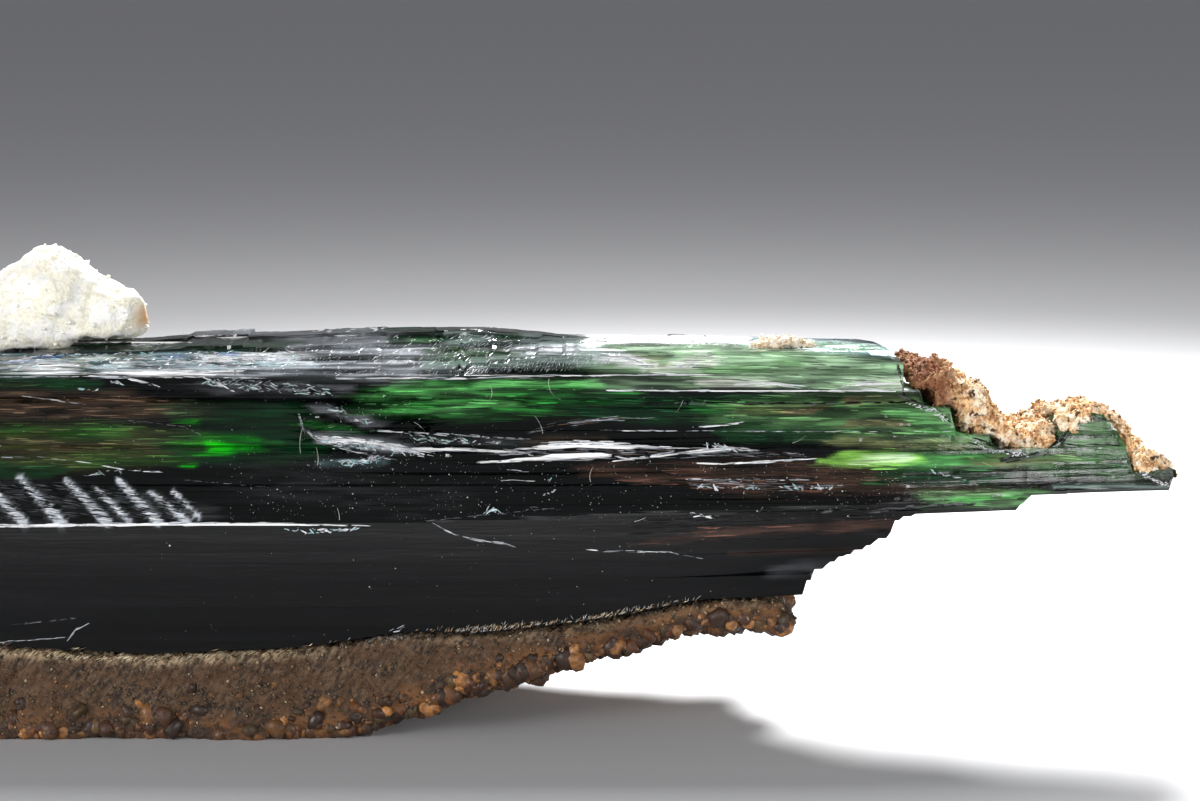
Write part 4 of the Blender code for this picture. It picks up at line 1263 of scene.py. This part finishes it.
def build_matrix():
    """The sandy crust: a fibrous body, rounded grains sunk into its lower part, and small crumbs."""
    body = rough_copy("sandy_matrix_fine", "sandy_matrix", 0.22, [(1.6, 0.2), (0.5, 0.2), (0.22, 0.14)])
    co = coords(body) / MM
    rim = 1 - smooth(0.05, 0.6, contact_at(co[:, 0]) - 0.35 - co[:, 2])
    rim = rim * (1 - 0.75 * smooth(-9, -6, co[:, 0]))
    low = 1 - smooth(0.6, 1.9, co[:, 2] - np.interp(co[:, 0], *UNDERSIDE))
    store(body, "where", np.column_stack((rim, low, np.zeros(len(co)))))
    body.data.shade_smooth()
    made = Nodes("sandy ironstone")
    rim_mask, low_mask, _ = made.attribute("where")
    fine = made.noise(4500.0, 4.0, 0.7)
    patch = made.noise((500.0, 500.0, 900.0), 4.0, 0.6)
    fibre = made.noise((4600.0, 3000.0, 1300.0), 3.0, 0.6, 0.6)
    colour = made.mix(made.span(fibre, 0.36, 0.64), (0.018, 0.01, 0.006), (0.115, 0.066, 0.034))
    colour = made.mix(made.span(fine, 0.52, 0.7, 0.0, 0.5), colour, (0.22, 0.14, 0.08))
    rusty = made.mix(fine, (0.03, 0.013, 0.006), (0.13, 0.06, 0.022))
    colour = made.mix(made.span(patch, 0.4, 0.62, 0.0, 0.75), colour, rusty)
    amber = made.mix(made.span(patch, 0.38, 0.6), (0.025, 0.01, 0.005), (0.17, 0.07, 0.02))
    colour = made.mix(made.math("MULTIPLY", low_mask, made.span(patch, 0.3, 0.6, 0.6, 1.0)), colour, amber)
    pale = made.math("MULTIPLY", rim_mask, made.span(fibre, 0.4, 0.6, 0.1, 0.8))
    made.set(
        Base_Color=made.mix(pale, colour, (0.55, 0.42, 0.26)),
        Roughness=made.span(fine, 0.3, 0.7, 0.95, 0.7), Normal=made.bump(fine, 0.00012, 0.8),
    )
    dress(body, made.material)
    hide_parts("sandy_matrix")

    rng = np.random.default_rng(21)

    def low_part(middle, normal):
        height = middle[:, 2] - np.interp(middle[:, 0], *UNDERSIDE)
        clear = (middle[:, 2] > 0.15) * (middle[:, 2] < contact_at(middle[:, 0]) - 1.3)
        return np.exp(-np.maximum(height, 0) / 0.8) * clear * (1 + 1.5 * (middle[:, 1] < -4))

    points, normals = surface_samples(body, 2200, 22, low_part)
    sizes = rng.uniform(0.2, 0.7, len(points)) * rng.uniform(0.7, 1.0, len(points))
    places = points - normals * sizes[:, None] * 0.6
    places[:, 2] = np.maximum(places[:, 2], sizes * 0.8)
    tones = np.array(GRAIN_TONES)[rng.integers(0, len(GRAIN_TONES), len(points))]
    tones = tones * rng.uniform(0.35, 1.1, (len(points), 1))
    shapes = blob_shapes(6, 2, 0.5, 23)
    grains = scatter("sandy_matrix_grains", shapes, places, sizes, tones, 24, (0.6, 1.15))
    made = Nodes("sand grains")
    coat = made.noise(3500.0, 4.0, 0.65)
    made.set(
        Base_Color=made.mix(made.span(coat, 0.42, 0.62, 0.0, 0.6), made.shade(), (0.03, 0.016, 0.009)),
        Roughness=made.span(coat, 0.4, 0.6, 0.4, 0.75), Normal=made.bump(coat, 0.00006, 0.7),
    )
    dress(grains, made.material)

    def mostly_front(middle, normal):
        return ((middle[:, 1] < -6) * 1.0 + 0.15) * (middle[:, 2] > 0.3)

    points, normals = surface_samples(body, 7500, 25, mostly_front)
    sizes = rng.uniform(0.035, 0.11, len(points))
    places = points + normals * sizes[:, None] * 0.3
    near_rim = 1 - smooth(0.1, 0.8, contact_at(points[:, 0]) - 0.35 - points[:, 2])
    near_rim = near_rim * (1 - 0.7 * smooth(-9, -6, points[:, 0]))
    pale = rng.uniform(0, 1, len(points)) < 0.06 + 0.5 * near_rim
    tints = np.where(pale[:, None], PALE_CRUMB, BROWN_CRUMB) * rng.uniform(0.5, 1.3, (len(points), 1))
    orange = rng.uniform(0, 1, len(points)) < 0.04
    tints = np.where(orange[:, None], ORANGE_CRUMB, tints)
    shapes = blob_shapes(5, 1, 0.5, 26)
    crumbs = scatter("sandy_matrix_crumbs", shapes, places, sizes, tints, 27, (0.5, 1.2))
    dress(crumbs, made.material)
    return body


def clay_material():
    """Tan clay that is white, reddish or orange where its values say so; the orange is painted shade on the
    lump's right side.
    """
    made = Nodes("clay")
    white, deep, orange_shade = made.attribute("where")
    fine = made.noise(3800.0, 4.0, 0.65)
    patch = made.noise(1100.0, 4.0, 0.6)
    pits = made.noise(2600.0, 2.0, 0.5)
    colour = made.mix(made.span(fine, 0.36, 0.6), (0.36, 0.15, 0.05), (0.9, 0.62, 0.33))
    colour = made.mix(made.span(patch, 0.46, 0.62, 0.0, 0.9), colour, (0.96, 0.86, 0.68))
    reddish = made.mix(fine, (0.05, 0.014, 0.006), (0.45, 0.17, 0.07))
    colour = made.mix(made.math("MULTIPLY", deep, made.span(patch, 0.3, 0.6, 0.6, 1.0)), colour, reddish)
    # Painted shade: dark brown pits by noise stand in for the dark of hollows, less on the whiter clay
    pit_shade = made.math("MULTIPLY", made.span(pits, 0.58, 0.68), made.span(white, 0.2, 0.9, 1.0, 0.0))
    colour = made.mix(pit_shade, colour, (0.09, 0.045, 0.018))
    # Near white where the clay is white; on the lump this is partly a painted highlight
    chalky = made.mix(made.span(patch, 0.4, 0.6), (0.95, 0.93, 0.78), (0.97, 0.96, 0.93))
    colour = made.mix(made.math("MULTIPLY", white, made.span(fine, 0.3, 0.6, 0.75, 1.0)), colour, chalky)
    # Painted shade: orange on the lump's right side
    colour = made.mix(orange_shade, colour, (0.75, 0.42, 0.16))
    made.set(Base_Color=colour, Roughness=0.95, Normal=made.bump(fine, 0.00015, 0.8))
    return made.material


def behind_crystal(co):
    """Keeps the clay's corners behind the crystal's own face where that shows in front of it."""
    for i, (x, y, z) in enumerate(co):
        if x > 22 and z > 12.6 and present(x - 0.2, z):
            face = face_at([softly(edge, x) for edge in FRONT_EDGES], z)
            face += min(s[4] for s in present(x - 0.2, z))
            share = 1.0 if x < 27.5 else float(smooth(29.4, 31.0, x))
            co[i, 1] = y + max(face + 0.5 - y, 0.0) * share


# Pieces of clay: the source's node, the size of the mesh, the roughness, the crumbs and how white it is,
# which on the lump is partly its pale clay and partly a painted highlight
CLAY = (
    ("clay_crust", 0.1, [(1.2, 0.2), (0.45, 0.3), (0.17, 0.2)], 6500, 0.0),
    ("clay_lump", 0.2, [(1.8, 0.3), (0.6, 0.15), (0.25, 0.05)], 260, 1.0),
    ("clay_patch", 0.1, [(0.5, 0.2), (0.2, 0.1)], 400, 0.4),
)
# How much lower than in the source the rim of clay is, along the crystal
CLAY_DROP = ((26.0, 27.6, 29.5, 33.0, 36.0), (0.35, 0.6, 0.5, 0.5, 0.9))
# Where the clay is reddish, and where the lump's right side has painted orange shade, as boxes of x and z
# with soft edges
REDDISH = (21.0, 24.8, 16.6, 19.3, 0.7, 0.4)
ORANGE_SHADE = (-17.8, -16.4, 19.8, 21.0, 0.5, 0.4)
# The patch lies lower than in the source and is flatter
PATCH_WAS_AT, PATCH_AT, PATCH_HEIGHT_KEPT = 19.5, 19.0, 0.8


def build_clay():
    """The crust, the lump and the patch of clay, each with its crumbs."""
    finish = clay_material()
    for node, voxel, steps, crumb_count, white in CLAY:
        crust = node == "clay_crust"
        grow, tip_grow = (-0.08, 0.12) if crust else (0.05, None)
        body = rough_copy(node + "_fine", node, voxel, steps, grow, tip_grow)
        co = coords(body) / MM
        if crust:
            co[:, 2] -= np.interp(co[:, 0], *CLAY_DROP)
            behind_crystal(co)
        if node == "clay_patch":
            co[:, 2] = PATCH_AT + (co[:, 2] - PATCH_WAS_AT) * PATCH_HEIGHT_KEPT
        if node == "clay_lump":
            block = smooth(-19.4, -18.2, co[:, 0]) * smooth(19.2, 21.5, co[:, 2])
            co[:, 2] += 0.7 * block * smooth(-18.6, -16.6, co[:, 0])
        body.data.vertices.foreach_set("co", (co * MM).ravel())
        body.data.update()
        deep, orange_shade = np.zeros(len(co)), np.zeros(len(co))
        if crust:
            deep = soft_zone(co[:, 0], co[:, 2], *REDDISH)
        # Painted shade: orange on the lump's right side
        if node == "clay_lump":
            orange_shade = 0.9 * soft_zone(co[:, 0], co[:, 2], *ORANGE_SHADE)
        store(body, "where", np.column_stack((np.full(len(co), white), deep, orange_shade)))
        body.data.shade_smooth()
        dress(body, finish)
        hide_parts(node)
        points, normals = surface_samples(body, crumb_count, 31)
        rng = np.random.default_rng(32)
        sizes = rng.uniform(0.04, 0.11, len(points)) * rng.uniform(0.6, 1.6, len(points))
        where = np.tile((white, 0.0, 0.0), (len(points), 1))
        where[:, 1] = soft_zone(points[:, 0], points[:, 2], *REDDISH) * (white == 0)
        places = points + normals * sizes[:, None] * 0.3
        crumbs = scatter(node + "_crumbs", blob_shapes(5, 1, 0.6, 33), places, sizes, where, 34, (0.5, 1.2))
        crumbs.data.color_attributes["shade"].name = "where"
        dress(crumbs, finish)


build_stage()
crystal = build_crystal()
paint = colour_crystal(crystal)
dress(crystal, crystal_material())
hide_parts("vivianite_crystal")
matrix = build_matrix()
build_clay()
face_tree = tree_of(crystal, matrix)
build_flakes(face_tree, crystal, paint)
build_dust(face_tree)
